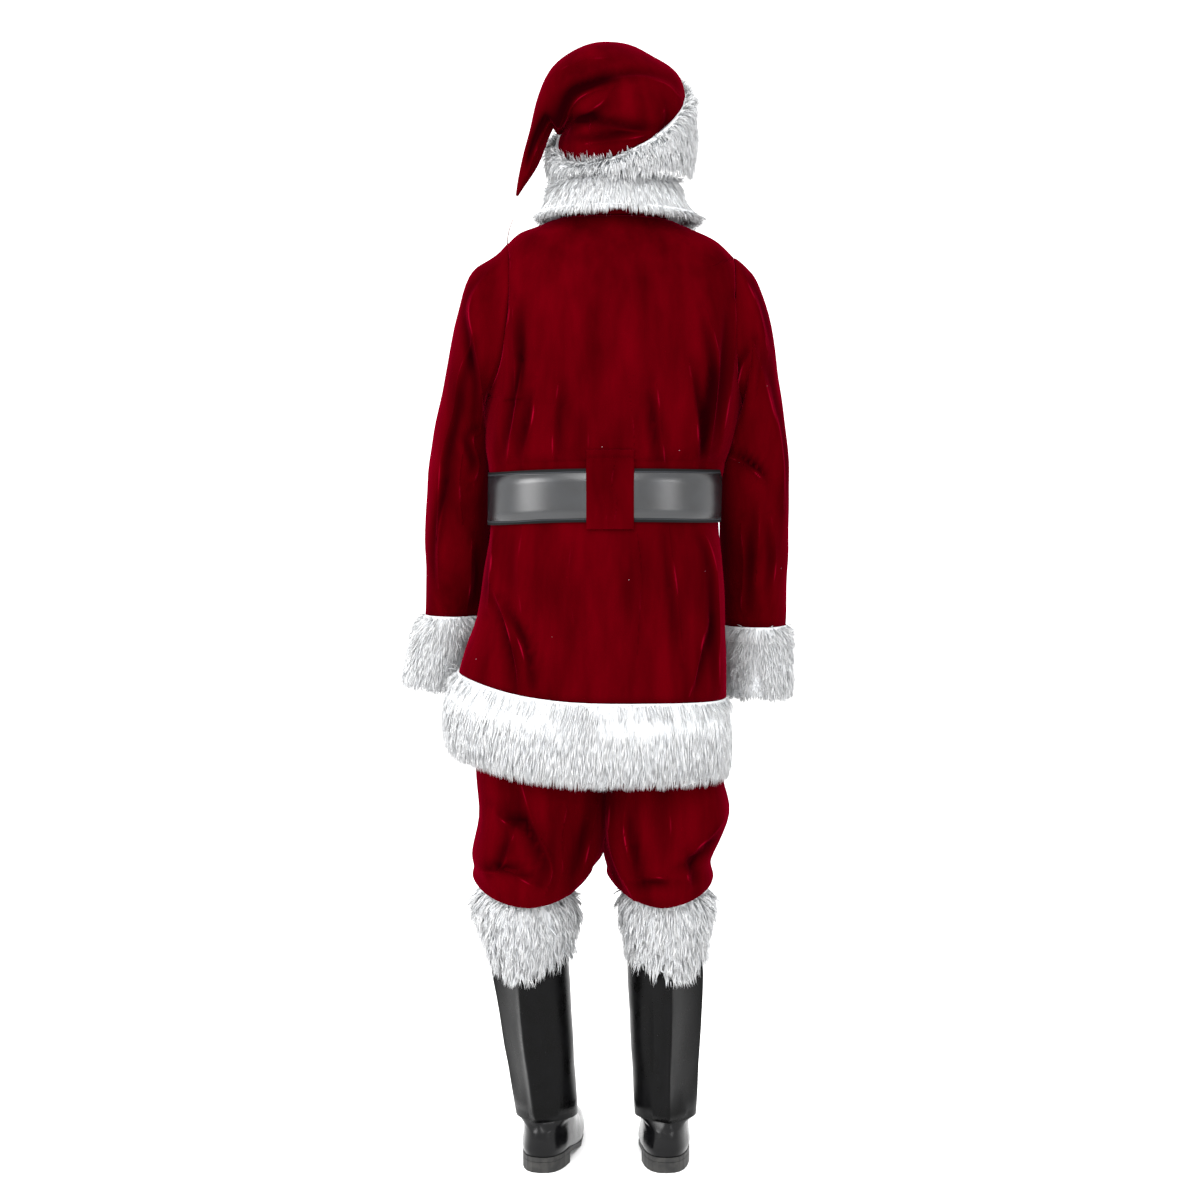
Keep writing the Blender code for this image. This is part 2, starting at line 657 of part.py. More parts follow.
LOOP_HALF = 0.039
LOOP_OFF = 0.0002
LOOP_THICK = 0.0015
LOOP_ROWS = (6.08, 6.35, 6.62, 6.78, 6.90, 7.0, 7.25, 7.5, 7.75, 8.0, 8.10)
LOOP_RISE_ROW, LOOP_RISE_ROWS = 6.62, 0.30


def belt_loop():
    """The cloth strip on the back that holds the belt: down over it and under its lower edge."""
    row = np.array(LOOP_ROWS)[:, None]
    share = np.linspace(-1, 1, 5)[None, :]
    wide = through(JACKET["left"], row)
    turn = share * np.arcsin(np.clip(LOOP_HALF / wide, 0, 1) ** (through(JACKET["square"], row) / 2))
    over_belt = BELT_OFF + BELT_THICK + 2 * SEAM
    inside = 2 * SEAM + LOOP_OFF + (over_belt - LOOP_OFF) * ease((row - LOOP_RISE_ROW) / LOOP_RISE_ROWS)
    velvet(layer("belt_loop_back", belt_surface, turn, row, inside + LOOP_THICK, inside))


# --- trousers ------------------------------------------------------------------------------------

# Where the two legs meet, seen from behind.
SPLIT = 0.0115
LEGS_APART = 0.0003
FORK_ROW, FORK_ROWS = 3.8, 1.0

# Each leg's rings: the ring's middle and half width seen from behind, its middle and half size from
# front to back, and its height at the back and at the side. Near the top the rings of the two legs
# would cross, so each stops at the plane between them, which makes the seat and the fork.
LEG = {
    LEFT: table("middle wide y deep z_back z_side", [
        (0.0115, 0.1750, 0.000, 0.128, -0.4850, -0.4850),    # 0 waist
        (0.0280, 0.1650, -0.001, 0.128, -0.545, -0.545),
        (0.0480, 0.1520, -0.002, 0.130, -0.615, -0.615),
        (0.0760, 0.1290, -0.002, 0.130, -0.690, -0.690),
        (0.0970, 0.1110, 0.000, 0.126, -0.760, -0.760),
        (0.1110, 0.1080, 0.002, 0.121, -0.830, -0.830),
        (0.1120, 0.1080, 0.004, 0.117, -0.905, -0.905),
        (0.1110, 0.1060, 0.006, 0.112, -0.975, -0.970),
        (0.1205, 0.1075, 0.008, 0.110, -1.035, -1.025),
        (0.1265, 0.0985, 0.008, 0.109, -1.078, -1.050),
        (0.1315, 0.0955, 0.002, 0.106, -1.101, -1.068),      # 10 lowest line of the blouse
        (0.1390, 0.0830, 0.000, 0.095, -1.099, -1.080),
        (0.1440, 0.0690, 0.000, 0.074, -1.0835, -1.0817),    # over the top of the boot
        (0.1450, 0.0580, 0.000, 0.053, -1.0960, -1.0950),
        (0.1440, 0.0550, 0.000, 0.048, -1.1550, -1.1550),    # 14 tucked end
    ]),
    RIGHT: table("middle wide y deep z_back z_side", [
        (0.0115, 0.1640, 0.000, 0.128, -0.4850, -0.4850),
        (-0.0010, 0.1550, -0.001, 0.128, -0.545, -0.545),
        (-0.0200, 0.1430, -0.002, 0.130, -0.615, -0.615),
        (-0.0470, 0.1200, -0.002, 0.130, -0.690, -0.690),
        (-0.0700, 0.1010, 0.000, 0.126, -0.760, -0.760),
        (-0.0810, 0.1010, 0.002, 0.121, -0.830, -0.830),
        (-0.0810, 0.1000, 0.004, 0.117, -0.905, -0.905),
        (-0.0890, 0.1080, 0.006, 0.114, -0.975, -0.965),
        (-0.0790, 0.0895, 0.008, 0.110, -1.035, -1.025),
        (-0.0800, 0.0850, 0.008, 0.108, -1.078, -1.050),
        (-0.0825, 0.0865, 0.002, 0.106, -1.101, -1.068),
        (-0.0870, 0.0780, 0.000, 0.095, -1.099, -1.080),
        (-0.0905, 0.0655, 0.000, 0.073, -1.0842, -1.0818),
        (-0.0915, 0.0560, 0.000, 0.053, -1.0960, -1.0950),
        (-0.0910, 0.0530, 0.000, 0.048, -1.1550, -1.1550),
    ]),
}
TUCKED = 14
WAIST_ROW = 8.0
WAIST_FADE = 2.6
WAISTBAND_TOP_ROW = 7.5
WAISTBAND_LIFT = -(WALL + 2 * SEAM)
LEG_TOP_LIFT = -0.0038

LEG_FOLDS = {
    LEFT: table("x0 z0 x1 z1 width height side", [
        (0.150, -0.915, 0.100, -1.060, 0.014, 0.007, 1),
        (0.185, -0.960, 0.110, -1.030, 0.012, 0.005, 1),
        (0.165, -0.990, 0.190, -1.050, 0.012, 0.006, 1),
        (0.022, -0.965, 0.045, -1.060, 0.012, 0.005, 1),
        (0.200, -1.062, 0.120, -1.068, 0.010, 0.005, 1),
        (0.160, -0.900, 0.110, -1.050, 0.016, 0.007, -1),
    ]),
    RIGHT: table("x0 z0 x1 z1 width height side", [
        (-0.186, -0.985, -0.125, -1.022, 0.014, 0.009, 1),
        (-0.020, -0.930, -0.042, -1.070, 0.012, 0.006, 1),
        (-0.055, -0.940, -0.118, -1.060, 0.016, 0.004, 1),
        (-0.045, -1.060, -0.105, -1.063, 0.010, 0.005, 1),
        (-0.150, -0.920, -0.060, -1.050, 0.016, 0.007, -1),
    ]),
}


def waist_lift(turn, row):
    """Where the top of the legs lies: inside the jacket, under the belt."""
    points = ring_point(JACKET, turn, row)
    normal = normals(belt_surface, turn, row)
    return points + normal * LEG_TOP_LIFT


def leg_surface(side):
    """A trouser leg's outer face. share runs 0 to 1 from the middle of the back, round the outer
    side, to the middle of the front."""
    rings = LEG[side]

    def ring(share, row):
        size = {name: through(rings[name], row) for name in rings}
        offset = side * (size["middle"] - SPLIT)
        closing = 1 - ease((row - FORK_ROW) / FORK_ROWS)
        first = np.arccos(np.clip(offset / size["wide"], 0, 1)) * closing
        angle = first + (FULL_TURN - 2 * first) * share
        back_share = np.sin(angle)
        height = size["z_side"] + (size["z_back"] - size["z_side"]) * back_share**2
        x = size["middle"] - side * np.cos(angle) * size["wide"]
        x = SPLIT + side * np.maximum(side * (x - SPLIT), LEGS_APART)
        return np.stack([x, size["y"] + back_share * size["deep"], height], axis=-1)

    def surface(share, row):
        share, row = np.broadcast_arrays(share, row)
        points = ring(share, row)
        waist = waist_lift(side * HALF_TURN * share, np.full_like(row, WAIST_ROW))
        stay = 1 - ease(row / WAIST_FADE)
        first = ring(share, np.zeros_like(row))
        points = points + (waist - first) * stay[..., None]
        middle = np.stack([through(rings["middle"], row), through(rings["y"], row)], axis=-1)
        outward = np.zeros(points.shape)
        outward[..., :2] = unit(points[..., :2] - middle)
        worn = ease((row - 5) / 1.5) * ease((11.5 - row) / 1.5)
        seam_side = np.sin(HALF_TURN * np.clip(share, 0, 1)) ** 0.5
        lift = fold_height(points, LEG_FOLDS[side]) * worn * seam_side
        return points + outward * lift[..., None]

    return surface


def leg_normals(surface, side, share, row):
    step = 0.004
    across = surface(np.clip(share + step, 0, 1), row) - surface(np.clip(share - step, 0, 1), row)
    along = surface(share, row + step) - surface(share, row - step)
    return unit(np.cross(across, along)) * side


def trousers():
    for side in (LEFT, RIGHT):
        surface = leg_surface(side)
        row = np.concatenate([np.linspace(0.02, 9, 10), np.linspace(9.5, 13, 7), [TUCKED]])[:, None]
        for name, ends in (("back", (0.0, 0.5)), ("front", (0.5, 1.0))):
            share = np.linspace(*ends, 8)[None, :]
            share, full_row = np.broadcast_arrays(share, row)
            outer = surface(share, full_row)
            normal = leg_normals(surface, side, share, full_row)
            inner = outer - normal * WALL
            outer = seam_cut(outer, normal, SEAM)
            inner = seam_cut(inner, normal, SEAM)
            velvet(wall_object(f"trousers_{name}_{SIDE_NAME[side]}", outer, inner, False))
    back = np.linspace(-HALF_TURN / 2, HALF_TURN / 2, BACK_COLUMNS)
    front = np.linspace(HALF_TURN / 2, 3 * HALF_TURN / 2, 2 * FRONT_COLUMNS - 1)
    turn = np.concatenate([back, front[1:-1]])[None, :]
    row = np.array([WAISTBAND_TOP_ROW, WAIST_ROW - 0.006])[:, None]
    velvet(layer("trousers_waistband", belt_surface, turn, row, WAISTBAND_LIFT,
                 WAISTBAND_LIFT - WALL, closed_round=True))


# --- hat -----------------------------------------------------------------------------------------

# Rings of the crown from the brim to the tip of the tail: their upper and under points seen from
# behind, the middle and half size from front to back, and how much higher the front is.
CROWN = table("x_up z_up x_under z_under y deep rise", [
    (-0.119, 0.200, 0.085, 0.118, -0.015, 0.100, 0.065),
    (-0.110, 0.222, 0.080, 0.130, -0.013, 0.102, 0.056),
    (-0.085, 0.246, 0.076, 0.141, -0.010, 0.098, 0.042),
    (-0.038, 0.272, 0.074, 0.151, -0.006, 0.090, 0.028),
    (0.012, 0.281, 0.077, 0.158, -0.002, 0.079, 0.016),
    (0.058, 0.267, 0.084, 0.158, 0.002, 0.065, 0.006),
    (0.096, 0.237, 0.091, 0.150, 0.004, 0.050, 0.000),
    (0.116, 0.194, 0.096, 0.137, 0.006, 0.039, 0.000),
    (0.130, 0.146, 0.103, 0.118, 0.008, 0.030, 0.000),
    (0.140, 0.103, 0.114, 0.088, 0.009, 0.022, 0.000),
    (0.149, 0.064, 0.134, 0.057, 0.010, 0.013, 0.000),
    (0.1537, 0.0355, 0.1483, 0.0345, 0.010, 0.0027, 0.000),
])
CROWN_END = 11

CROWN_FOLDS = table("x0 z0 x1 z1 width height side", [
    (0.112, 0.150, 0.070, 0.196, 0.010, 0.007, 1),
    (0.070, 0.196, -0.030, 0.226, 0.011, 0.009, 1),
    (-0.030, 0.226, -0.100, 0.214, 0.011, 0.007, 1),
    (0.096, 0.172, 0.036, 0.206, 0.008, 0.004, 1),
    (0.060, 0.152, -0.060, 0.138, 0.010, 0.007, 1),
    (0.070, 0.130, -0.040, 0.118, 0.009, 0.006, 1),
    (0.070, 0.141, 0.020, 0.132, 0.006, -0.007, 1),
    (0.060, 0.230, -0.080, 0.240, 0.014, 0.006, -1),
])

# The brim's profile from the crown's edge down: how far it stands out, and its share of the way to
# the brim's lower edge. At the back the brim is squashed against the collar.
BRIM = table("out share", [
    (0.000, 0.000),
    (0.012, 0.050),
    (0.019, 0.300),
    (0.021, 0.660),
    (0.013, 1.000),
])
BRIM_END = {"left": 0.0600, "right": 0.0760, "back": 0.0632, "front": 0.1520}
BRIM_GAP = 0.0010


def crown_surface(round_way, row):
    """The crown's outer face: round_way 0 is its upper edge, a quarter turn is its back."""
    round_way, row = np.broadcast_arrays(round_way, row)
    size = {name: through(CROWN[name], row) for name in CROWN}
    up = np.cos(round_way)
    back = np.sin(round_way)
    points = np.stack([(size["x_up"] + size["x_under"]) / 2 + up * (size["x_up"] - size["x_under"]) / 2,
                       size["y"] + back * size["deep"],
                       (size["z_up"] + size["z_under"]) / 2 + up * (size["z_up"] - size["z_under"]) / 2
                       - back * size["rise"]], axis=-1)
    outward = np.zeros(points.shape)
    outward[..., 1] = back
    worn = ease(row / 1.5) * ease((9.5 - row) / 2)
    return points + outward * (fold_height(points, CROWN_FOLDS) * worn)[..., None]


def hat():
    round_way = np.linspace(0, FULL_TURN, 20, endpoint=False)[None, :]
    row = np.linspace(0, CROWN_END, 14)[:, None]
    round_way, row = np.broadcast_arrays(round_way, row)
    outer = crown_surface(round_way, row)
    normal = sleeve_normals(crown_surface, round_way, row)
    share = row / CROWN_END
    thick = WALL * (1 - 0.55 * share)
    inner = outer - normal * thick[..., None]
    velvet(wall_object("hat_crown", outer, inner, True))
    turn = turns_round(20)
    brim_row = rows_between(0, 4, 6)
    squashed = 1 - 0.72 * ease(np.cos(turn) * 1.4)
    depth = (-0.004 - 0.014 * np.sin(HALF_TURN * np.clip(brim_row / 4, 0, 1)) ** 0.7) * squashed
    plush(layer("hat_brim", brim_surface, turn, brim_row, 0, depth, closed_round=True))


def brim_surface(turn, row):
    """The brim's outer face, hung from the edge of the crown."""
    turn, row = np.broadcast_arrays(turn, row)
    edge = crown_surface(turn + HALF_TURN / 2, np.zeros_like(row))
    across, fore = np.sin(turn), np.cos(turn)
    lower = (np.where(across >= 0, BRIM_END["left"], BRIM_END["right"]) * across**2
             + np.where(fore >= 0, BRIM_END["back"], BRIM_END["front"]) * fore**2)
    height = edge[..., 2] - BRIM_GAP - lower
    points = edge.copy()
    points[..., 0] += across * through(BRIM["out"], row)
    points[..., 1] += fore * through(BRIM["out"], row)
    points[..., 2] -= BRIM_GAP + height * through(BRIM["share"], row)
    return points


CORD_DIAMETER = 0.0024
CORD_ROUTE = table("x y z", [
    (0.1503, 0.0100, 0.0370),
    (0.1516, 0.0099, 0.0320),
    (0.1530, 0.0085, 0.0165),
    (0.1580, 0.0020, -0.0010),
    (0.1640, -0.0120, -0.0150),
    (0.1680, -0.0330, -0.0290),
    (0.1690, -0.0560, -0.0480),
    (0.1675, -0.0800, -0.0660),
    (0.1650, -0.0990, -0.0790),
    (0.1626, -0.1118, -0.0885),
])
POMPOM_RADIUS = 0.030
POMPOM_TURN, POMPOM_ROW = 2.3, 2.8


def hat_cord():
    """The cord from the tip of the hat over the wearer's left shoulder, and the pompom at its end."""
    steps = np.linspace(0, len(CORD_ROUTE["x"]) - 1, 30)
    places = np.stack([through(CORD_ROUTE[axis], steps) for axis in "xyz"], axis=-1)
    line = bpy.data.curves.new("hat_cord", "CURVE")
    line.dimensions = "3D"
    line.bevel_depth = CORD_DIAMETER / 2
    line.bevel_resolution = 2
    line.use_fill_caps = True
    spline = line.splines.new("POLY")
    spline.points.add(len(places) - 1)
    for point, place in zip(spline.points, places):
        point.co = (*place, 1)
    made = bpy.data.objects.new("hat_cord", line)
    bpy.data.collections[SUIT].objects.link(made)
    cord_thread(made)
    body = bmesh.new()
    bmesh.ops.create_icosphere(body, subdivisions=3, radius=POMPOM_RADIUS)
    mesh = bpy.data.meshes.new("hat_pompom")
    body.to_mesh(mesh)
    body.free()
    pompom = bpy.data.objects.new("hat_pompom", mesh)
    turn, row = np.full((1, 1), POMPOM_TURN), np.full((1, 1), POMPOM_ROW)
    lies_on = jacket(turn, row) + normals(jacket, turn, row) * (POMPOM_RADIUS + SEAM)
    pompom.location = lies_on[0, 0]
    bpy.data.collections[SUIT].objects.link(pompom)
    plush(pompom)


# --- boots ---------------------------------------------------------------------------------------

# The boot's shaft: middle and half width seen from behind, half size from front to back, height.
SHAFT = {
    LEFT: table("middle wide deep z", [
        (0.1450, 0.0700, 0.074, -1.086),
        (0.1400, 0.0675, 0.073, -1.160),
        (0.1315, 0.0635, 0.070, -1.245),
        (0.1190, 0.0570, 0.066, -1.356),
        (0.1060, 0.0500, 0.062, -1.468),
    ]),
    RIGHT: table("middle wide deep z", [
        (-0.0910, 0.0680, 0.074, -1.086),
        (-0.0905, 0.0650, 0.073, -1.160),
        (-0.0900, 0.0620, 0.070, -1.245),
        (-0.0903, 0.0565, 0.066, -1.356),
        (-0.0905, 0.0505, 0.062, -1.468),
    ]),
}
SHAFT_END = 4
CREASE = 0.75
YAW = {LEFT: math.radians(15), RIGHT: math.radians(-4)}
SHOE_YAW = {LEFT: math.radians(9), RIGHT: math.radians(0)}
SHAFT_Y = 0.0

BOOT_PLUSH = {
    LEFT: table("middle wide z", [
        (0.1450, 0.0725, -1.0900),
        (0.1440, 0.0810, -1.1050),
        (0.1410, 0.0880, -1.1250),
        (0.1385, 0.0880, -1.1600),
        (0.1370, 0.0820, -1.1930),
        (0.1350, 0.0740, -1.2200),
        (0.1335, 0.0685, -1.2400),
    ]),
    RIGHT: table("middle wide z", [
        (-0.0910, 0.0710, -1.0900),
        (-0.0915, 0.0755, -1.1050),
        (-0.0920, 0.0790, -1.1250),
        (-0.0920, 0.0780, -1.1600),
        (-0.0915, 0.0740, -1.1930),
        (-0.0905, 0.0690, -1.2200),
        (-0.0902, 0.0655, -1.2400),
    ]),
}


def shaft_surface(side):
    """The shaft's outer face, with a sharp crease down the back and a softer one in front."""
    rings = SHAFT[side]

    def surface(turn, row):
        turn, row = np.broadcast_arrays(turn, row)
        size = {name: through(rings[name], row) for name in rings}
        across = np.sin(turn)
        fore = np.cos(turn)
        crease = np.where(fore >= 0, CREASE, 0.3)
        deep = size["deep"] * ((1 - crease) + crease / np.sqrt(1 + np.abs(across)))
        x = size["wide"] * across
        y = deep * fore
        cos_yaw, sin_yaw = math.cos(YAW[side]), math.sin(YAW[side])
        turned = np.stack([x * cos_yaw + y * sin_yaw, y * cos_yaw - x * sin_yaw], axis=-1)
        height = np.broadcast_to(size["z"], turned.shape[:-1])
        return np.stack([size["middle"] + turned[..., 0], SHAFT_Y + turned[..., 1], height],
                        axis=-1)

    return surface


def boots():
    for side in (LEFT, RIGHT):
        name = SIDE_NAME[side]
        surface = shaft_surface(side)
        turn = turns_round(20)
        row = rows_between(0, SHAFT_END, 5)
        black_leather(layer(f"boot_shaft_{name}", surface, turn, row, 0, -WALL, closed_round=True))
        boot_plush(side, surface)
        shoe(side, surface)


def boot_plush(side, shaft):
    """The plush band round the top of the boot, from the shaft's face out to the pile's reach."""
    rings = BOOT_PLUSH[side]
    turn, row = np.broadcast_arrays(turns_round(20), rows_between(0, 6, 6))
    size = {name: through(rings[name], row) for name in rings}
    shaft_row = np.interp(-size["z"], -SHAFT[side]["z"], np.arange(5.0))
    inner = shaft(turn, shaft_row) + normals(shaft, turn, shaft_row) * SEAM
    inner[..., 2] = size["z"]
    outer = np.stack([size["middle"] + size["wide"] * np.sin(turn),
                      SHAFT_Y + (size["wide"] + 0.006) * np.cos(turn), size["z"]], axis=-1)
    plush(wall_object(f"boot_plush_{SIDE_NAME[side]}", outer, inner, True))


# The shoe's rings from its sole to the ankle: half width, reach behind and in front of the ankle's
# middle, and height over the sole line at the back and the front.
SHOE = table("half back front up_back up_front square", [
    (0.0430, 0.064, 0.222, 0.0010, 0.0010, 2.5),
    (0.0450, 0.066, 0.226, 0.0120, 0.0130, 2.5),
    (0.0430, 0.066, 0.205, 0.0240, 0.0320, 2.4),
    (0.0425, 0.065, 0.140, 0.0340, 0.0520, 2.2),
    (0.0445, 0.062, 0.085, 0.0430, 0.0640, 2.1),
])
SHOE_TOP, SHOE_NECK, SHOE_END = 4, 4.5, 5
SHOE_ROWS = (0, 0.5, 1, 1.8, 2.6, 3.4)
SHOE_TUCK = 0.12
SOLE_THICK, HEEL_HEIGHT = 0.007, 0.018
BALL_Y, HEEL_BREAST_Y = -0.085, -0.004
HEEL_NARROW = 0.80
SHOE_STEPS = 20


def sole_line(y):
    """Height of the sole's underside: on the floor at the ball of the foot, raised over the heel."""
    return FLOOR + HEEL_HEIGHT * ease((y - BALL_Y) / (HEEL_BREAST_Y - BALL_Y))


def shoe_surface(side, shaft):
    middle = SHAFT[side]["middle"][SHAFT_END]
    yaw = SHOE_YAW[side]

    def surface(turn, row):
        turn, row = np.broadcast_arrays(turn, row)
        size = {name: through(SHOE[name], np.minimum(row, SHOE_TOP)) for name in SHOE}
        across, fore = np.sin(turn), np.cos(turn)
        power = 2 / size["square"]
        reach = np.where(fore >= 0, size["back"], size["front"])
        y = reach * np.sign(fore) * np.abs(fore)**power
        narrow = HEEL_NARROW + (1 - HEEL_NARROW) * ease((0.06 - y) / 0.13)
        x = size["half"] * np.sign(across) * np.abs(across)**power * narrow
        rise = size["up_front"] + (size["up_back"] - size["up_front"]) * (1 + fore) / 2
        z = sole_line(y) + SOLE_THICK + rise
        points = np.stack([middle + x * math.cos(yaw) + y * math.sin(yaw),
                           SHAFT_Y + y * math.cos(yaw) - x * math.sin(yaw), z], axis=-1)
        inside = SHAFT_END - np.clip((row - SHOE_NECK) / (SHOE_END - SHOE_NECK), 0, 1) * SHOE_TUCK
        top = shaft(turn, inside) - normals(shaft, turn, inside) * (WALL + 3 * SEAM)
        top[..., 2] -= SEAM * 5
        stay = ease((row - SHOE_TOP) / (SHOE_NECK - SHOE_TOP))[..., None]
        return points * (1 - stay) + top * stay

    return surface


def shoe(side, shaft):
    """The shoe under the shaft: a hollow upper, a flat sole and a low heel."""
    name = SIDE_NAME[side]
    surface = shoe_surface(side, shaft)
    turn = turns_round(SHOE_STEPS)
    row = np.array([*SHOE_ROWS, SHOE_TOP, SHOE_NECK, SHOE_END])[:, None]
    turn, row = np.broadcast_arrays(turn, row)
    outer = surface(turn, row)
    inner = outer + normals(surface, turn, np.minimum(row, SHOE_TOP)) * WALL
    inner[0, :, 2] = outer[0, :, 2]
    inner[-2:] = outer[-2:] - normals(shaft, turn[-2:], np.full((2, 1), SHAFT_END)) * WALL
    shoe_leather(wall_object(f"shoe_upper_{name}", outer, inner, True))
    turn = turns_round(SHOE_STEPS)
    outline = surface(turn, np.zeros((1, 1)))[0]
    away = outline - outline.mean(axis=0)
    away[:, 2] = 0
    edge = outline + unit(away) * 0.002
    top = edge.copy()
    top[:, 2] = outline[:, 2] - 2 * SEAM
    bottom = edge.copy()
    bottom[:, 2] = sole_line(local_y(side, edge))
    shoe_rubber(plate_object(f"shoe_sole_{name}", top, bottom))
    heel_outline = heel_edge(side, edge)
    heel_top = heel_outline.copy()
    heel_top[:, 2] = FLOOR + HEEL_HEIGHT - 2 * SEAM
    heel_bottom = heel_outline.copy()
    heel_bottom[:, 2] = FLOOR
    shoe_rubber(plate_object(f"shoe_heel_{name}", heel_top, heel_bottom, turned=5))


def local_y(side, points):
    """How far behind the ankle's middle a point is, along the shoe."""
    middle = SHAFT[side]["middle"][SHAFT_END]
    yaw = SHOE_YAW[side]
    return (points[:, 0] - middle) * math.sin(yaw) + (points[:, 1] - SHAFT_Y) * math.cos(yaw)


def heel_edge(side, edge):
    """The part of the sole's outline behind the heel's straight front."""
    half = len(edge) // 4
    return np.concatenate([edge[-half:], edge[:half + 1]])


def plate_object(name, top, bottom, turned=0):
    """A solid between a top outline and a bottom outline, in strips across it. turned is the
    number of the outline's middle point at the back."""
    count = len(top)
    points = np.concatenate([top, bottom])
    faces = []
    for strip in range(count // 2):
        ends = [turned + strip, turned + strip + 1, turned - strip - 1, turned - strip]
        across = list(dict.fromkeys(end % count for end in ends))
        if len(across) > 2:
            faces.append(across)
            faces.append([count + end for end in reversed(across)])
    for step in range(count):
        after = (step + 1) % count
        faces.append([step, count + step, count + after, after])
    return mesh_object(name, points, faces)


# --- the whole suit --------------------------------------------------------------------------------

def clear_scene():
    for made in list(bpy.data.objects):
        bpy.data.objects.remove(made, do_unlink=True)
    for name in (SUIT, "cutters"):
        collection = bpy.data.collections.new(name)
        bpy.context.scene.collection.children.link(collection)


def build():
    clear_scene()
    jacket_body()
    sleeves()
    cuffs()
    collar()
    hem_trim()
    front_band()
    belt()
    belt_loop()
    buckle()
    trousers()
    hat()
    hat_cord()
    boots()


build()
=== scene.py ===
# %% [markdown]
# # A red velvet suit with white plush trims
# The suit stands as if someone wore it: jacket, trousers, pointed hat, belt and boots, all hollow.
# Its simple solids are loaded first and give every place and size. Each cell then dresses one part.

# %% Load the solids that everything is fitted to
import bpy
import bmesh
import math
from collections import namedtuple
import numpy as np
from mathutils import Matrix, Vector
from mathutils.kdtree import KDTree


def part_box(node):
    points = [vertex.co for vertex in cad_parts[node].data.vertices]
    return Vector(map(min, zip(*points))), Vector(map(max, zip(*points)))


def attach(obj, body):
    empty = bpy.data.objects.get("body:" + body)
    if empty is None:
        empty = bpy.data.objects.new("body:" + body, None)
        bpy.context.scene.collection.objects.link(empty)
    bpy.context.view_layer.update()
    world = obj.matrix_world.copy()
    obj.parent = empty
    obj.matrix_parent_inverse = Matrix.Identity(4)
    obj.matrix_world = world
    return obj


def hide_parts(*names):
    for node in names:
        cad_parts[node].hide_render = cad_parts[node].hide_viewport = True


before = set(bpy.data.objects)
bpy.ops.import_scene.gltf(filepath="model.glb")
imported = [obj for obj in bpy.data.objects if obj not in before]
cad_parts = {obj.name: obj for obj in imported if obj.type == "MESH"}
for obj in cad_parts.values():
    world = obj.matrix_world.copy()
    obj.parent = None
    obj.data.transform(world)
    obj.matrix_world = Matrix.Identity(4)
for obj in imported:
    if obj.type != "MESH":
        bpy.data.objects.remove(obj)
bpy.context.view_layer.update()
print("solids:", len(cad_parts))

# %% [markdown]
# ## Camera
# The suit is seen from behind, from a little above its middle and from nearly four metres away,
# so that upright lines stay upright. A square picture takes the same angle both ways.

# %% Camera behind the suit
CAMERA_PLACE = Vector((0.0179, 3.8, -0.32))
CAMERA_AIM = Vector((0.0179, 0.0, -0.616))
CAMERA_ANGLE = math.radians(28.78)


def put(name, data):
    """Adds an object to the scene."""
    made = bpy.data.objects.new(name, data)
    bpy.context.scene.collection.objects.link(made)
    return made


def aim(made, place, target):
    """Places a camera or a light and turns it to a target."""
    made.location = place
    made.rotation_euler = (Vector(target) - Vector(place)).to_track_quat("-Z", "Y").to_euler()


lens = bpy.data.cameras.new("camera")
lens.sensor_fit = "HORIZONTAL"
lens.angle = CAMERA_ANGLE
camera = put("camera", lens)
aim(camera, CAMERA_PLACE, CAMERA_AIM)
bpy.context.scene.camera = camera
bpy.context.scene.view_settings.view_transform = "Standard"
print("camera", round((CAMERA_AIM - CAMERA_PLACE).length, 2), "m from the suit")

# %% [markdown]
# ## Materials
# A colour is written as the hex value that a screen shows, and shaders want it linear, so one
# function converts it. One more adds a node with its settings and links, and the others use it.

# %% Helpers for colours and nodes
def linear(hex_colour):
    """Turns an sRGB hex colour into the linear values that shaders use."""
    channels = [int(hex_colour[i:i + 2], 16) / 255 for i in (1, 3, 5)]
    curve = [c / 12.92 if c <= 0.04045 else ((c + 0.055) / 1.055) ** 2.4 for c in channels]
    return (*curve, 1.0)


def add_node(tree, kind, inputs=(), **settings):
    """Adds a node: settings are its properties, inputs maps a socket to a value or a socket."""
    node = tree.nodes.new("ShaderNode" + kind)
    for name, value in settings.items():
        setattr(node, name, value)
    for socket, value in dict(inputs).items():
        if isinstance(value, bpy.types.NodeSocket):
            tree.links.new(value, node.inputs[socket])
        else:
            node.inputs[socket].default_value = value
    return node


def new_material(name, **shader):
    """A material with one Principled shader, whose sockets take the given values."""
    made = bpy.data.materials.new(name)
    made.use_nodes = True
    surface = made.node_tree.nodes["Principled BSDF"]
    for socket, value in shader.items():
        surface.inputs[socket.replace("_", " ")].default_value = value
    return made, made.node_tree, surface


def object_place(tree):
    return add_node(tree, "TexCoord").outputs["Object"]


def feed(tree, shader, **sources):
    """Links an output into each named socket of a shader."""
    for socket, source in sources.items():
        tree.links.new(source, shader.inputs[socket.replace("_", " ")])


def math_of(tree, operation, *values, **settings):
    return add_node(tree, "Math", enumerate(values), operation=operation, **settings).outputs[0]


def mixed(tree, factor, first, second, **settings):
    """One colour laid over another, as far as the factor says."""
    return add_node(tree, "Mix", {"Factor": factor, 6: first, 7: second}, data_type="RGBA",
                    **settings).outputs[2]


def attribute(tree, name, output="Fac"):
    return add_node(tree, "Attribute", attribute_name=name).outputs[output]


def bumps(tree, height, strength, distance):
    return add_node(tree, "Bump", {"Height": height, "Strength": strength,
                                   "Distance": distance}).outputs["Normal"]


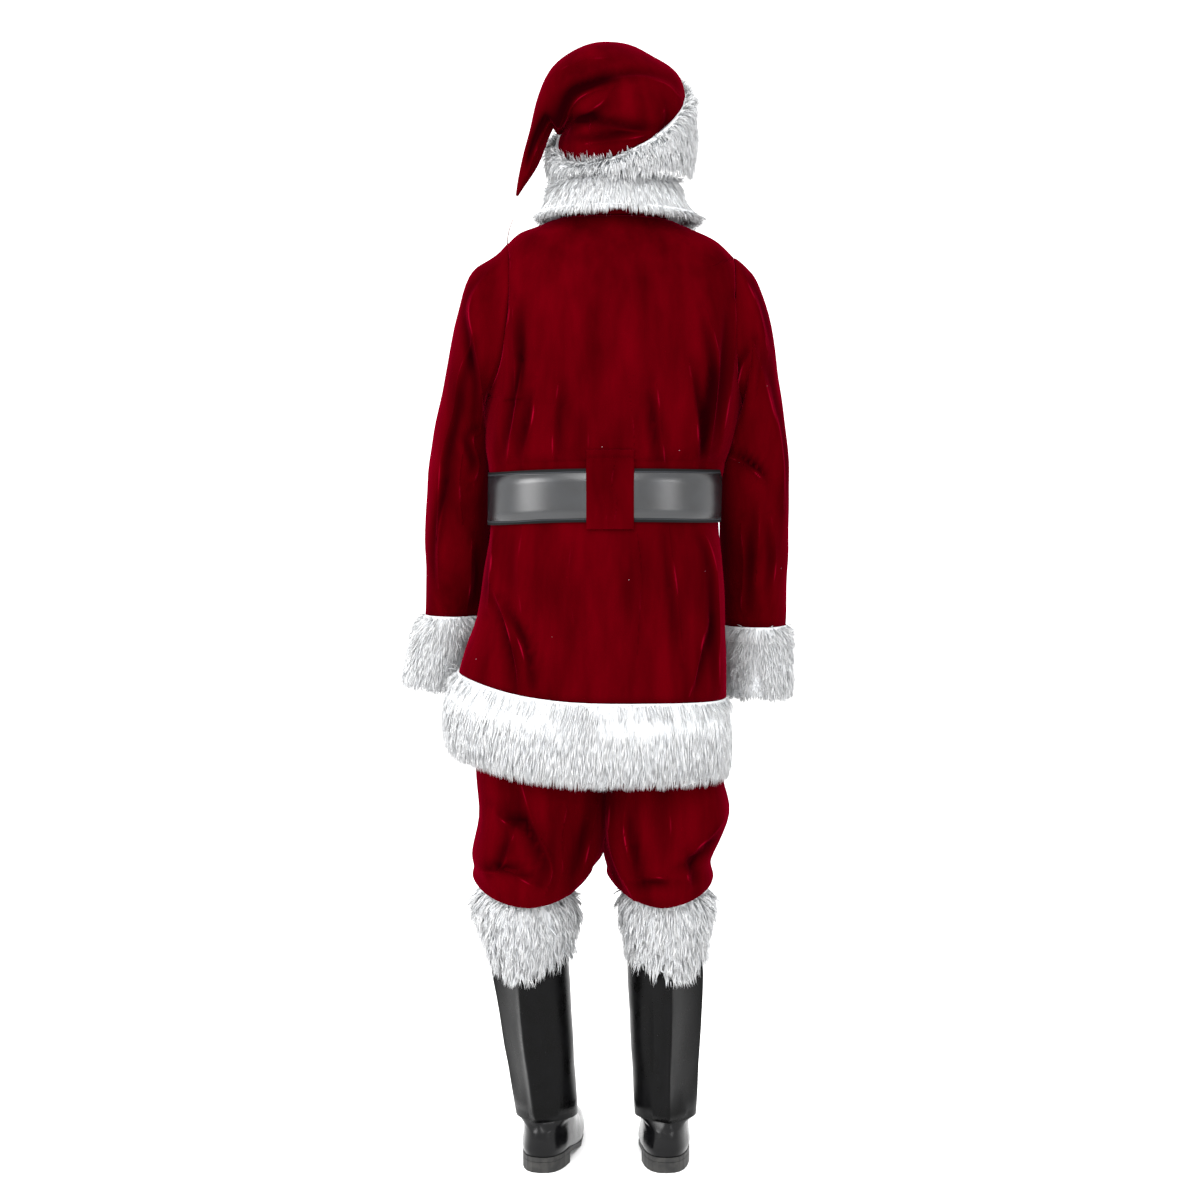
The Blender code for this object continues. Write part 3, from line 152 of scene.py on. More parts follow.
def ramp_between(tree, factor, *stops):
    """A colour ramp through (position, hex colour) stops."""
    ramp = add_node(tree, "ValToRGB", {"Fac": factor})
    points = ramp.color_ramp.elements
    while len(points) < len(stops):
        points.new(0.5)
    for point, (place, colour) in zip(points, stops):
        point.position = place
        point.color = linear(colour)
    return ramp.outputs["Color"]

# %% [markdown]
# ### Cotton velvet
# Velvet is a cut pile 1 to 2 mm deep on a woven back. Seen straight on it looks dark, because light
# falls in between the threads. Where it curves away, the threads' sides catch the light, which is
# what the shader's sheen does. Along each crease a thin highlight is painted, with painted shade
# beside it. The cloth pieces carry both as an attribute, positive on a crease and negative beside
# it.

# %% Velvet
PILE_SCALE = 900       # 1.1 mm between tufts, coarser than the real pile so that it shows
BRUSH_SCALE = 14       # hand-sized patches of pile lying another way, partly painted shade of soft folds
LINT_SCALE = 26.0      # a speck of lint every few centimetres
LINT_SIZE = 0.015      # a speck's radius, as a share of the distance between two

velvet, tree, surface = new_material("cotton_velvet", Roughness=0.85, Sheen_Weight=0.30,
                                     Sheen_Tint=linear("#b80632"), Sheen_Roughness=0.35,
                                     Specular_IOR_Level=0.0)
place = object_place(tree)
# Stretched upright, the patches become long streaks, partly painted shade that stands in for soft
# folds.
upright = add_node(tree, "Mapping", {"Vector": place, "Scale": (1.6, 1.6, 0.4)})
brushed_pile_and_fold_shade = add_node(tree, "TexNoise", {"Vector": upright.outputs[0], "Detail": 3.0,
                                      "Scale": BRUSH_SCALE, "Roughness": 0.55})
pile = add_node(tree, "TexNoise", {"Vector": place, "Scale": PILE_SCALE, "Detail": 2.0})
body_colour = ramp_between(tree, brushed_pile_and_fold_shade.outputs["Fac"],
                           (0.30, "#2e0002"), (0.50, "#390003"), (0.70, "#420004"))
grain = mixed(tree, 0.22, body_colour, pile.outputs["Color"], blend_type="SOFT_LIGHT")
# Painted shading from the creases: positive values are a painted highlight, negative painted shade.
painted_crease_shading = attribute(tree, "painted_crease_shading")
painted_shade = math_of(tree, "MULTIPLY", painted_crease_shading, -1.0, use_clamp=True)
painted_highlight = math_of(tree, "MULTIPLY", painted_crease_shading, 1.0, use_clamp=True)
# The dark red is painted shade beside a crease, the crimson a painted highlight on its crest.
with_painted_crease_shading = mixed(tree, painted_highlight, mixed(tree, painted_shade, grain, linear("#120001")), linear("#b80c34"))
lint = add_node(tree, "TexVoronoi", {"Vector": place, "Scale": LINT_SCALE})
speck = math_of(tree, "LESS_THAN", lint.outputs["Distance"], LINT_SIZE)
feed(tree, surface,
     Base_Color=mixed(tree, math_of(tree, "MULTIPLY", speck, 0.35), with_painted_crease_shading, linear("#e6cfd0")),
     Normal=bumps(tree, pile.outputs["Fac"], 0.22, 0.001))
print("velvet ready")

# %% [markdown]
# ### Long plush
# The trims are acrylic fur, with straight white hairs some 25 mm long. Its locks are geometry, so
# the material only needs the white of the hairs, a greyer root as painted shade where light gets
# lost between them, and a small random change from lock to lock, partly painted shade where locks
# part. Both come from attributes on the locks. A third attribute, lie, gives the way that the coat
# faces as a whole, so that light falls on the locks as on one soft surface. Half of the light
# passes through.

# %% Plush
plush, tree, surface = new_material("acrylic_plush", Roughness=0.7, Specular_IOR_Level=0.15)
# Painted shade: the roots are greyer than the tips.
hair_colour = ramp_between(tree, attribute(tree, "along"),
                           (0.0, "#eef0f2"), (0.35, "#fbfcfc"), (1.0, "#ffffff"))
# Some locks are greyer at random, partly painted shade where locks part.
toned = mixed(tree, attribute(tree, "shade"), hair_colour, linear("#eceff3"))
feed(tree, surface, Base_Color=toned, Normal=attribute(tree, "lie", "Vector"))
glow = add_node(tree, "BsdfTranslucent", {"Color": toned})
through = add_node(tree, "MixShader", {0: 0.50, 1: surface.outputs[0], 2: glow.outputs[0]})
feed(tree, tree.nodes["Material Output"], Surface=through.outputs[0])
print("plush ready")

# %% [markdown]
# ### Leathers, rubber, brass and thread
# The boot shafts are coated leather: smooth, black, with a broad soft gloss and a grain of fine
# pebbles under a millimetre across. The shoes are polished, so their gloss is tighter.

# %% Leathers
GRAIN_SCALE = 1100     # pebbles about 0.9 mm across
SCUFF_SCALE = 30       # cloudy patches a few centimetres wide


def clouds_and_pebbles(tree):
    """Slow cloudy patches and fine pebbles, which every leather here has."""
    place = object_place(tree)
    clouds = add_node(tree, "TexNoise", {"Vector": place, "Scale": SCUFF_SCALE, "Detail": 4.0})
    pebbles = add_node(tree, "TexVoronoi", {"Vector": place, "Scale": GRAIN_SCALE})
    return clouds.outputs["Fac"], pebbles.outputs["Distance"]


def leather(name, dark, light, roughness, gloss, coat):
    """Grained leather whose colour and gloss drift slowly between two tones."""
    made, tree, surface = new_material(name, Specular_IOR_Level=gloss, Coat_Weight=coat,
                                       Coat_Roughness=0.25)
    clouds, pebbles = clouds_and_pebbles(tree)
    drift = add_node(tree, "MapRange", {"Value": clouds, 1: 0.3, 2: 0.7, 3: roughness - 0.05,
                                        4: roughness + 0.08})
    feed(tree, surface, Base_Color=ramp_between(tree, clouds, (0.35, dark), (0.7, light)),
         Roughness=drift.outputs[0], Normal=bumps(tree, pebbles, 0.10, 0.0004))
    return made


boot_leather = leather("coated_boot_leather", "#040404", "#070708", 0.28, 0.07, 0.0)
shoe_leather = leather("polished_shoe_leather", "#050506", "#0a0a0b", 0.20, 0.12, 0.08)
print("leathers ready")

# %% Rubber, brass and thread
def noise(tree, scale):
    return add_node(tree, "TexNoise", {"Vector": object_place(tree), "Scale": scale,
                                       "Detail": 5.0}).outputs["Fac"]


sole_rubber, tree, surface = new_material("moulded_sole_rubber", Roughness=0.62,
                                          Specular_IOR_Level=0.35)
dust = noise(tree, 60.0)
feed(tree, surface, Base_Color=ramp_between(tree, dust, (0.4, "#141414"), (0.75, "#2b2a28")))

brass, tree, surface = new_material("plated_buckle_brass", Metallic=1.0)
tarnish = noise(tree, 90.0)
worn = add_node(tree, "MapRange", {"Value": tarnish, 3: 0.20, 4: 0.38})
feed(tree, surface, Roughness=worn.outputs[0],
     Base_Color=ramp_between(tree, tarnish, (0.3, "#c9973c"), (0.7, "#e0b866")))

hat_thread, tree, surface = new_material("twisted_hat_cord", Roughness=0.75, Sheen_Weight=0.15,
                                         Specular_IOR_Level=0.2)
TWISTS = 180.0         # slanted bands to the metre, as bump and as a little shade
twist = add_node(tree, "TexWave", {"Vector": object_place(tree), "Scale": TWISTS},
                 bands_direction="DIAGONAL").outputs["Fac"]
feed(tree, surface, Base_Color=ramp_between(tree, twist, (0.1, "#8d8482"), (0.7, "#cfc6c4")),
     Normal=bumps(tree, twist, 0.3, 0.0003))
print("rubber, brass and thread ready")

# %% [markdown]
# ## Dressing a solid as cloth
# A cloth piece starts from the triangles of its solid, merged and joined into four-sided faces.
# Two rounds of subdivision make it smooth, and creased edges keep its cut edges sharp. Along each
# crease the faces are then split up to three times more, so that a fold a few millimetres wide
# can be pressed in. This keeps the detail where it shows.

# %% Helpers that refine a solid's mesh
SHARP_TURN = math.radians(55)
FLAT_JOIN = math.radians(50)
MERGE_REACH = 0.00002


def quads_of(node):
    """A merged copy of a solid's mesh, in four-sided faces, with its sharp edges creased."""
    body = bmesh.new()
    body.from_mesh(bpy.data.objects[node].data)
    bmesh.ops.remove_doubles(body, verts=body.verts, dist=MERGE_REACH)
    bmesh.ops.join_triangles(body, faces=body.faces, angle_face_threshold=FLAT_JOIN,
                             angle_shape_threshold=math.pi)
    sharp = body.edges.layers.float.new("crease_edge")
    for edge in body.edges:
        if len(edge.link_faces) == 2 and edge.calc_face_angle(0.0) > SHARP_TURN:
            edge[sharp] = 1.0
    return body


def mesh_from(body, mesh):
    body.to_mesh(mesh)
    body.free()


def object_from(body, name):
    mesh = bpy.data.meshes.new(name)
    mesh_from(body, mesh)
    return put(name, mesh)


def read(items, what, size=3):
    """A property of many vertices at once, one row each."""
    found = np.empty(len(items) * size)
    items.foreach_get(what, found)
    return found.reshape(-1, size)


def points_of(made):
    return read(made.data.vertices, "co")


def normals_of(made):
    return read(made.data.vertex_normals, "vector")


def set_points(made, points):
    made.data.vertices.foreach_set("co", points.ravel())
    made.data.update()


def store(made, name, values, domain="POINT"):
    """Stores an attribute: a number or a vector for each vertex or face corner."""
    kind, what = ("FLOAT", "value") if values.ndim == 1 else ("FLOAT_VECTOR", "vector")
    made.data.attributes.new(name, kind, domain).data.foreach_set(what, values.ravel())


def subdivided(made, levels, rounds=3):
    """Applies a subdivision. It would draw corners in, so they are moved out by as much first."""
    modifier = made.modifiers.new("smooth", "SUBSURF")
    modifier.levels = modifier.render_levels = levels
    wanted = points_of(made)
    for _ in range(rounds):
        smooth = made.evaluated_get(bpy.context.evaluated_depsgraph_get())
        moved = read(smooth.to_mesh().vertices, "co")
        smooth.to_mesh_clear()
        set_points(made, points_of(made) + 0.8 * (wanted - moved[:len(wanted)]))
    graph = bpy.context.evaluated_depsgraph_get()
    finished = bpy.data.meshes.new_from_object(made.evaluated_get(graph))
    made.modifiers.remove(modifier)
    rough = made.data
    made.data = finished
    bpy.data.meshes.remove(rough)
    return made


def finish_piece(made, material, slot, *nodes):
    """Gives a piece its material, smooth faces and its body, and hides the solids that it replaces.
    """
    made.data.materials.clear()
    made.data.materials.append(material)
    made.data.shade_smooth()
    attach(made, "root")
    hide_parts(*nodes)
    triangles = sum(len(face.vertices) - 2 for face in made.data.polygons)
    print(f"{made.name}: {triangles} triangles")
    return made

# %% Distance from each point to a line
def unit(vectors):
    return vectors / np.maximum(np.linalg.norm(vectors, axis=-1, keepdims=True), 1e-9)


def to_line(points, line):
    """Distance to a polyline, the side of it, how far along it is from 0 to 1, and the foot."""
    line = np.asarray(line, float)
    steps = np.linalg.norm(np.diff(line, axis=0), axis=1)
    starts = np.concatenate([[0], np.cumsum(steps)])
    best = np.full(len(points), 1e9)
    side = np.zeros(len(points))
    along = np.zeros(len(points))
    foot = np.zeros(points.shape)
    for index, step in enumerate(steps):
        first, way = line[index], (line[index + 1] - line[index]) / step
        reach = np.clip((points - first) @ way, 0, step)
        near = first + reach[:, None] * way
        gap = np.linalg.norm(points - near, axis=1)
        closer = gap < best
        best[closer] = gap[closer]
        along[closer] = ((starts[index] + reach) / starts[-1])[closer]
        foot[closer] = near[closer]
        if points.shape[1] == 2:
            turn = way[0] * (points[:, 1] - first[1]) - way[1] * (points[:, 0] - first[0])
            side[closer] = np.sign(turn)[closer]
    return best, side, along, foot


def curved(line, steps=6):
    """A smooth line through the given points (Catmull-Rom)."""
    line = np.asarray(line, float)
    ends = np.vstack([2 * line[0] - line[1], line, 2 * line[-1] - line[-2]])
    part = np.linspace(0, 1, steps, endpoint=False)[:, None]
    pieces = []
    for a, b, c, d in zip(ends, ends[1:], ends[2:], ends[3:]):
        pieces.append(0.5 * (2 * b + (c - a) * part + (2 * a - 5 * b + 4 * c - d) * part**2
                             + (3 * b - a - 3 * c + d) * part**3))
    return np.vstack(pieces + [line[-1:]])

# %% Pressing creases into a cloth piece
BRIGHT_LINE = 0.0018   # half width of the painted highlight along a crease
SNAP = 0.0010          # points this close to a crease slide onto it, so that its crest is clean
CREASE_BANDS = (0.009, 0.006, 0.003)    # faces are split this close to a crease, round by round
TURN_OVER = 0.020      # a crease fades out over this depth where the piece turns to its other side
DRAPE = 0.0012         # height of the slow waves all over the cloth
RIDGE_REACH, RIDGE_HALF = 0.018, 0.165    # the area that smooth_ridge works on
RIDGE_ROUNDS = 12
BEHIND, IN_FRONT = 1, -1                  # the side of its piece that a crease lies on
Crease = namedtuple("Crease", "side line high wide lean mark", defaults=(1, 0.8))


def creases(side, *rows):
    """Folds in the cloth, in millimetres. Each row is a list that gives across and up of one point
    after the other, the fold's height and its half width. It may add lean, the side that its
    hollow lies on, and mark, how strong its painted highlight and painted shade are."""
    return [Crease(side, mm(*zip(line[::2], line[1::2])), high / 1000, wide / 1000, *rest)
            for line, high, wide, *rest in rows]


def mm(*rows):
    """Places given in millimetres. A piece's core is the line through its middle."""
    return np.array(rows) / 1000


def flat(points):
    """Across and up, as seen from behind."""
    return points[:, [0, 2]]


def which_side(points, core):
    """Positive behind the piece's own middle line, negative in front of it."""
    return points[:, 1] - to_line(points, core)[3][:, 1]


def split_near(made, creases, core, rounds):
    """Splits the outer faces' edges that lie near a crease, on the crease's side of the piece."""
    for band in CREASE_BANDS[:rounds]:
        body = bmesh.new()
        body.from_mesh(made.data)
        middles = np.array([(edge.verts[0].co + edge.verts[1].co) / 2 for edge in body.edges])
        normal = np.array([edge.verts[0].normal + edge.verts[1].normal for edge in body.edges])
        outer = (normal * (middles - to_line(middles, core)[3])).sum(axis=1) > 0
        chosen = np.zeros(len(middles), bool)
        facing = which_side(middles, core)
        for fold in creases:
            near = to_line(flat(middles), curved(fold.line))[0]
            chosen |= (near < band) & (facing * fold.side > 0) & outer
        edges = [edge for edge, take in zip(body.edges, chosen) if take]
        bmesh.ops.subdivide_edges(body, edges=edges, cuts=1, use_grid_fill=True, smooth=0.0)
        wide = [face for face in body.faces if len(face.verts) > 4]
        bmesh.ops.triangulate(body, faces=wide)
        mesh_from(body, made.data)


def press(made, creases, core, fills):
    """Moves the cloth out to a sharp crest on each crease and in beside it. It stores a painted
    highlight on the crest and painted shade beside it. Each fill is a place, a radius and how far
    the cloth bulges there."""
    points = points_of(made)
    facing = which_side(points, core)
    for fold in creases:
        near, _, _, foot = to_line(flat(points), curved(fold.line))
        snapped = (near < SNAP) & (facing * fold.side > 0)
        points[np.ix_(snapped, [0, 2])] = foot[snapped]
    outward = unit(points - to_line(points, core)[3])
    lift = np.zeros(len(points))
    painted_crease_shading = np.zeros(len(points))
    for fold in creases:
        near, side, along, _ = to_line(flat(points), curved(fold.line))
        fade = np.sin(np.pi * np.clip(along, 0.03, 0.97)) ** 0.6
        fade = fade * np.clip(facing * fold.side / TURN_OVER, 0, 1)
        wide = fold.wide
        signed = near * side * fold.lean
        trough = np.exp(-((signed - 1.5 * wide) / wide) ** 2)
        lift += fade * fold.high * (np.exp(-near / wide) - 0.85 * trough)
        # A painted highlight along the crest, stronger in some stretches than in others.
        uneven = 0.5 + 0.5 * np.sin(along * 9 + fold.line[0][0] * 90)
        painted_highlight = np.exp(-(near / BRIGHT_LINE) ** 2) * uneven**1.5
        # Painted shade in a band beside the crease, on its hollow side.
        painted_crease_shade = np.exp(-((signed - 1.4 * wide) / (1.5 * wide)) ** 2)
        painted_crease_shading += fade * fold.mark * (0.75 * painted_highlight - painted_crease_shade)
    for place, radius, depth in fills:
        lift += depth * np.exp(-((points - place) ** 2).sum(axis=1) / radius**2)
    waves = (np.sin(points[:, 0] * 61 + np.sin(points[:, 2] * 23) * 2.0)
             * np.cos(points[:, 1] * 47 + points[:, 2] * 17))
    points += outward * (lift + waves * DRAPE)[:, None]
    set_points(made, points)
    # The velvet reads this as painted highlight and painted shade.
    store(made, "painted_crease_shading", np.clip(painted_crease_shading, -1, 1))


def cloth_piece(node, creases, core, splits=2, fills=(), smooth_row=None, name=None,
                material=velvet, slot="red_velvet"):
    """A solid dressed as cloth, with creases pressed in."""
    made = subdivided(object_from(quads_of(node), name or node + "_cloth"), 2)
    if smooth_row is not None:
        smooth_ridge(made, smooth_row)
    split_near(made, creases, core, splits)
    press(made, creases, core, fills)
    return finish_piece(made, material, slot, node)


def smooth_ridge(made, row):
    """Smooths a ridge away that runs across a panel at the height row."""
    body = bmesh.new()
    body.from_mesh(made.data)
    near = [vertex for vertex in body.verts
            if abs(vertex.co.z - row) < RIDGE_REACH and abs(vertex.co.x) < RIDGE_HALF]
    for _ in range(RIDGE_ROUNDS):
        bmesh.ops.smooth_vert(body, verts=near, factor=0.5, use_axis_y=True, use_axis_z=True)
    mesh_from(body, made.data)

# %% [markdown]
# ## Jacket
# The jacket is cut from a back and two fronts, with set-in sleeves. The belt gathers it, so soft
# pleats run down to the belt from the shoulder blades and fan out again below it. The creases are
# given one by one, and the hidden front gets its own, of the same kind.

# %% Creases of the jacket
BODY_CORE = mm((12, 0, 50), (0, 0, -250), (12, 0, -450), (30, 0, -920))

BACK_CREASES = creases(BEHIND,
    ([153, -140, 150, -229, 154, -290], 5, 6, -1),
    ([141, -235, 147, -314, 165, -393], 6, 7),
    ([118, -265, 122, -320, 139, -393], 4, 7),
    ([83, -270, 90, -333, 92, -395], 3, 6, -1, 0.6),
    ([-148, -150, -166, -229, -160, -300, -150, -394], 6, 6),
    ([-122, -240, -130, -308, -136, -392], 4, 6, -1),
    ([-70, -267, -76, -331, -83, -394], 4, 7),
    ([-196, -140, -192, -200, -180, -290, -168, -370], 6, 8),
    ([160, -74, 158, -150, 170, -200], 3, 6, 1, 0.6),
    ([30, -300, 36, -350, 34, -396], 2, 9, 1, 0.15),
    ([-28, -280, -34, -340, -36, -396], 2, 10, 1, 0.1),
    ([186, -500, 193, -577, 196, -625], 4, 6),
    ([188, -590, 165, -637, 148, -706, 145, -757], 6, 6),
    ([176, -610, 140, -680, 128, -758], 3, 5, -1),
    ([-91, -490, -99, -576, -114, -702], 3.5, 6, 1, 0.6),
    ([-140, -490, -160, -536, -168, -613, -172, -751], 5, 6),
    ([-150, -640, -136, -703, -122, -758], 5, 6, -1),
    ([140, -496, 147, -559, 141, -638], 3, 8, 1, 0.3),
    ([60, -500, 66, -560, 60, -640], 2.5, 10, 1, 0.1),
    ([-40, -500, -46, -570, -40, -690], 2.5, 10, 1, 0.1),
)

FRONT_CREASES = creases(IN_FRONT,
    ([140, -180, 134, -260, 118, -394], 5, 7),
    ([96, -250, 90, -320, 78, -394], 4, 7, -1),
    ([-150, -190, -140, -290, -122, -394], 5, 7),
    ([-100, -260, -90, -330, -80, -394], 4, 6, -1),
    ([-164, -280, -158, -340, -148, -392], 4, 6, 1, 0.5),
    ([110, -500, 122, -600, 128, -740], 4.5, 7),
    ([160, -500, 178, -610, 186, -700], 4, 6, -1),
    ([-96, -500, -104, -610, -108, -740], 4.5, 7),
    ([-138, -500, -150, -620, -148, -750], 4, 6, -1),
    ([60, -500, 66, -590, 64, -700], 3, 8, 1, 0.3),
)
print(len(BACK_CREASES), "creases behind,", len(FRONT_CREASES), "in front")

# %% Back, fronts, collar stand and belt loop
SIDE_FILLS = [((0.195, 0.0, -0.340), 0.080, 0.008), ((-0.185, 0.0, -0.340), 0.080, 0.012)]
BACK_RIDGE = -0.292    # the solid's back has a faint ridge here
LOOP_CREASES = creases(BEHIND,
    ([-6, -388, 0, -420, -8, -450, -4, -480], 0.8, 4, 1, 0.15),
    ([16, -440, 8, -470, 12, -490], 0.6, 4, 1, 0.12),
)
jacket_back = cloth_piece("jacket_back", BACK_CREASES, BODY_CORE, splits=3, fills=SIDE_FILLS,
                          smooth_row=BACK_RIDGE)
jacket_left, jacket_right = [
    cloth_piece(f"jacket_front_{side}", FRONT_CREASES, BODY_CORE, fills=SIDE_FILLS)
    for side in ("left", "right")]
loop = cloth_piece("belt_loop_back", LOOP_CREASES, BODY_CORE, name="belt_loop_cloth")
stand = cloth_piece("collar_stand", [], BODY_CORE, splits=0)

# %% [markdown]
# ### Sleeves
# A worn sleeve breaks at the elbow and twists round the arm. The long creases start at the armpit
# and run down the outside, and short ones crowd into the bend of the elbow.

# %% Sleeves
LEFT_ARM_CORE = mm((185, 0, -160), (222, 0, -250), (245, -22, -400), (255, -70, -540),
                   (262, -110, -650), (295, -150, -770))
RIGHT_ARM_CORE = mm((-205, 0, -170), (-232, 0, -260), (-236, -22, -400), (-237, -70, -560),
                    (-242, -90, -660), (-250, -120, -790))
LEFT_ARM_CREASES = creases(BEHIND,
    ([196, -87, 224, -143, 216, -205, 206, -275, 210, -340], 5, 6),
    ([222, -200, 242, -251, 252, -314, 272, -391, 284, -508], 5, 6, -1),
    ([204, -340, 222, -352, 214, -391, 222, -420], 4.5, 6),
    ([262, -430, 278, -500, 284, -600], 4, 6, 1, 0.7),
    ([226, -520, 230, -580, 238, -640], 3.5, 6, -1),
    ([236, -360, 244, -430, 240, -490], 3.5, 7, 1, 0.4),
) + creases(IN_FRONT,
    ([250, -200, 262, -280, 270, -360], 3.5, 6),
    ([222, -330, 240, -380, 262, -400], 5, 6),
    ([216, -380, 240, -420, 270, -428], 5, 6, -1),
    ([236, -470, 262, -540, 280, -610], 4, 6),
)
RIGHT_ARM_CREASES = creases(BEHIND,
    ([-226, -205, -208, -240, -202, -290, -200, -360], 5.5, 6),
    ([-226, -205, -246, -267, -257, -306, -268, -352, -281, -470], 5.5, 6, -1),
    ([-196, -382, -212, -391, -238, -412, -244, -424], 6, 5, -1, 1),
    ([-212, -95, -234, -150, -250, -220], 4, 6, -1),
    ([-259, -480, -268, -551, -262, -616], 4, 6, 1, 0.6),
    ([-210, -490, -216, -551, -214, -640], 4, 6, -1, 0.6),
    ([-236, -430, -240, -500, -236, -590], 3, 7, 1, 0.3),
) + creases(IN_FRONT,
    ([-256, -200, -266, -280, -270, -360], 3.5, 6),
    ([-212, -340, -236, -380, -262, -396], 5, 6),
    ([-206, -390, -234, -424, -262, -430], 5, 6, -1),
    ([-220, -480, -240, -550, -262, -620], 4, 6),
)
sleeve_left = cloth_piece("sleeve_left", LEFT_ARM_CREASES, LEFT_ARM_CORE,
                          fills=[((0.203, -0.020, -0.350), 0.080, 0.007)])
sleeve_right = cloth_piece("sleeve_right", RIGHT_ARM_CREASES, RIGHT_ARM_CORE,
                           fills=[((-0.192, -0.020, -0.360), 0.080, 0.010)])

# %% [markdown]
# ## Trousers
# The legs blouse over the boot tops, so their cloth folds over itself there: long creases slant
# down from the crotch and short puckers gather above the plush.

# %% Trousers
LEFT_LEG_CORE = mm((60, 0, -600), (105, 2, -800), (118, 6, -1000), (142, 0, -1090),
                   (144, 0, -1180))
RIGHT_LEG_CORE = mm((-30, 0, -600), (-78, 2, -800), (-84, 6, -1000), (-89, 0, -1090),
                    (-91, 0, -1180))
LEFT_LEG_CREASES = creases(BEHIND,
    ([146, -890, 126, -955, 96, -1030, 106, -1080], 7, 8),
    ([188, -950, 164, -966, 138, -978], 6, 8, -1),
    ([155, -982, 167, -1024, 184, -1045], 5, 7),
    ([212, -1050, 163, -1046, 122, -1065], 5, 6, -1),
    ([24, -940, 40, -1010, 50, -1064], 5, 7),
    ([24, -1020, 46, -1056, 70, -1082], 5, 6, -1),
    ([70, -930, 80, -990, 78, -1050], 3.5, 8, 1, 0.3),
) + creases(IN_FRONT,
    ([140, -900, 120, -980, 108, -1060], 7, 8),
    ([176, -950, 150, -1000, 142, -1060], 6, 8, -1),
    ([36, -950, 50, -1010, 80, -1060], 5, 7),
    ([190, -1040, 150, -1050, 110, -1070], 5, 6),
)
RIGHT_LEG_CREASES = creases(BEHIND,
    ([0, -930, -6, -1020, -38, -1096], 6, 7),
    ([-27, -910, -23, -972, -32, -1027, -44, -1090], 6, 7, -1),
    ([-43, -1057, -70, -1050, -99, -1054], 4, 6),
    ([-180, -968, -150, -994, -112, -1022], 8.5, 8, -1, 1),
    ([-112, -1016, -120, -1046, -126, -1075], 6, 7, -1),
    ([-90, -920, -94, -980, -86, -1040], 3.5, 8, 1, 0.3),
) + creases(IN_FRONT,
    ([-110, -900, -100, -980, -84, -1060], 7, 8),
    ([-160, -970, -130, -1010, -100, -1030], 7, 8, -1),
    ([-12, -950, -30, -1010, -50, -1070], 5, 7),
    ([-140, -1040, -110, -1056, -70, -1070], 5, 6),
)
LEG_FILLS = [((0.008, 0.0, -0.960), 0.090, 0.006)]     # the legs' inner sides touch there
LEGS = {"left": (LEFT_LEG_CREASES, LEFT_LEG_CORE), "right": (RIGHT_LEG_CREASES, RIGHT_LEG_CORE)}
leg_pieces = [
    cloth_piece(f"trousers_{face}_{side}", *LEGS[side], fills=LEG_FILLS,
                splits=3 if (face, side) == ("back", "left") else 2)
    for side in LEGS for face in ("back", "front")]
waistband = cloth_piece("trousers_waistband", [], BODY_CORE, splits=0, name="waistband_cloth")

# %% [markdown]
# ## Hat
# The crown falls over to one side into a hanging tail. Its folds sweep round that turn, and where
# the tail leaves the crown the cloth tucks into a deep pocket.

# %% Hat crown
HAT_CORE = mm((-20, -15, 140), (0, -10, 190), (40, -6, 210), (85, 2, 190), (112, 6, 150),
              (126, 9, 105), (142, 10, 60), (151, 10, 30))
HAT_CREASES = creases(BEHIND,
    ([131, 71, 118, 109, 94, 157, 65, 183, -2, 207, -46, 213, -86, 208, -108, 190], 5.5, 7,
     -1, 0.75),
    ([104, 120, 91, 151, 68, 172, 33, 190, -24, 202], 5, 6, -1),
    ([80, 128, 69, 146, 38, 160, 17, 171, 5, 186], 4.5, 6, 1, 0.7),
    ([80, 128, 72, 141, 49, 142, 17, 134, -24, 129, -70, 127], 8, 7, -1),
    ([72, 116, 49, 112, 20, 111, -24, 116, -62, 125], 5, 6, -1),
    ([-70, 129, -77, 146, -84, 168], 3.5, 6, 1, 0.5),
    ([80, 228, 41, 240, 2, 246], 3.5, 8, 1, 0.3),
    ([98, 155, 116, 118, 134, 65], 3.5, 5, 1, 0.7),
) + creases(IN_FRONT,
    ([-60, 180, 0, 220, 60, 210], 5, 8),
    ([-40, 230, 40, 240, 90, 200], 4, 8, -1),
    ([108, 160, 124, 110, 138, 65], 3.5, 5),
)
POCKET = (0.083, 0.172)    # across and up: where the tail leaves the crown
POCKET_REACH, POCKET_DROP = 0.016, 0.034
crown = cloth_piece("hat_crown", HAT_CREASES, HAT_CORE)
points = points_of(crown)
near = ((flat(points) - POCKET) ** 2).sum(axis=1)
points[:, 2] -= POCKET_DROP * np.exp(-near / POCKET_REACH**2)
set_points(crown, points)

# %% [markdown]
# ## Plush trims
# Each trim starts from its solid, drawn in by some millimetres: that is the backing with its dense
# roots, so that no gap between locks shows through. Locks of hair then stand on it. One lock is a
# flattened three-sided spike of 10 faces, and thousands of them make one mesh. Each is combed
# along its trim, and their tips draw together into tufts, which leaves the ragged lower edge.

# %% Places along and round a trim
TRIM_BINS = 24


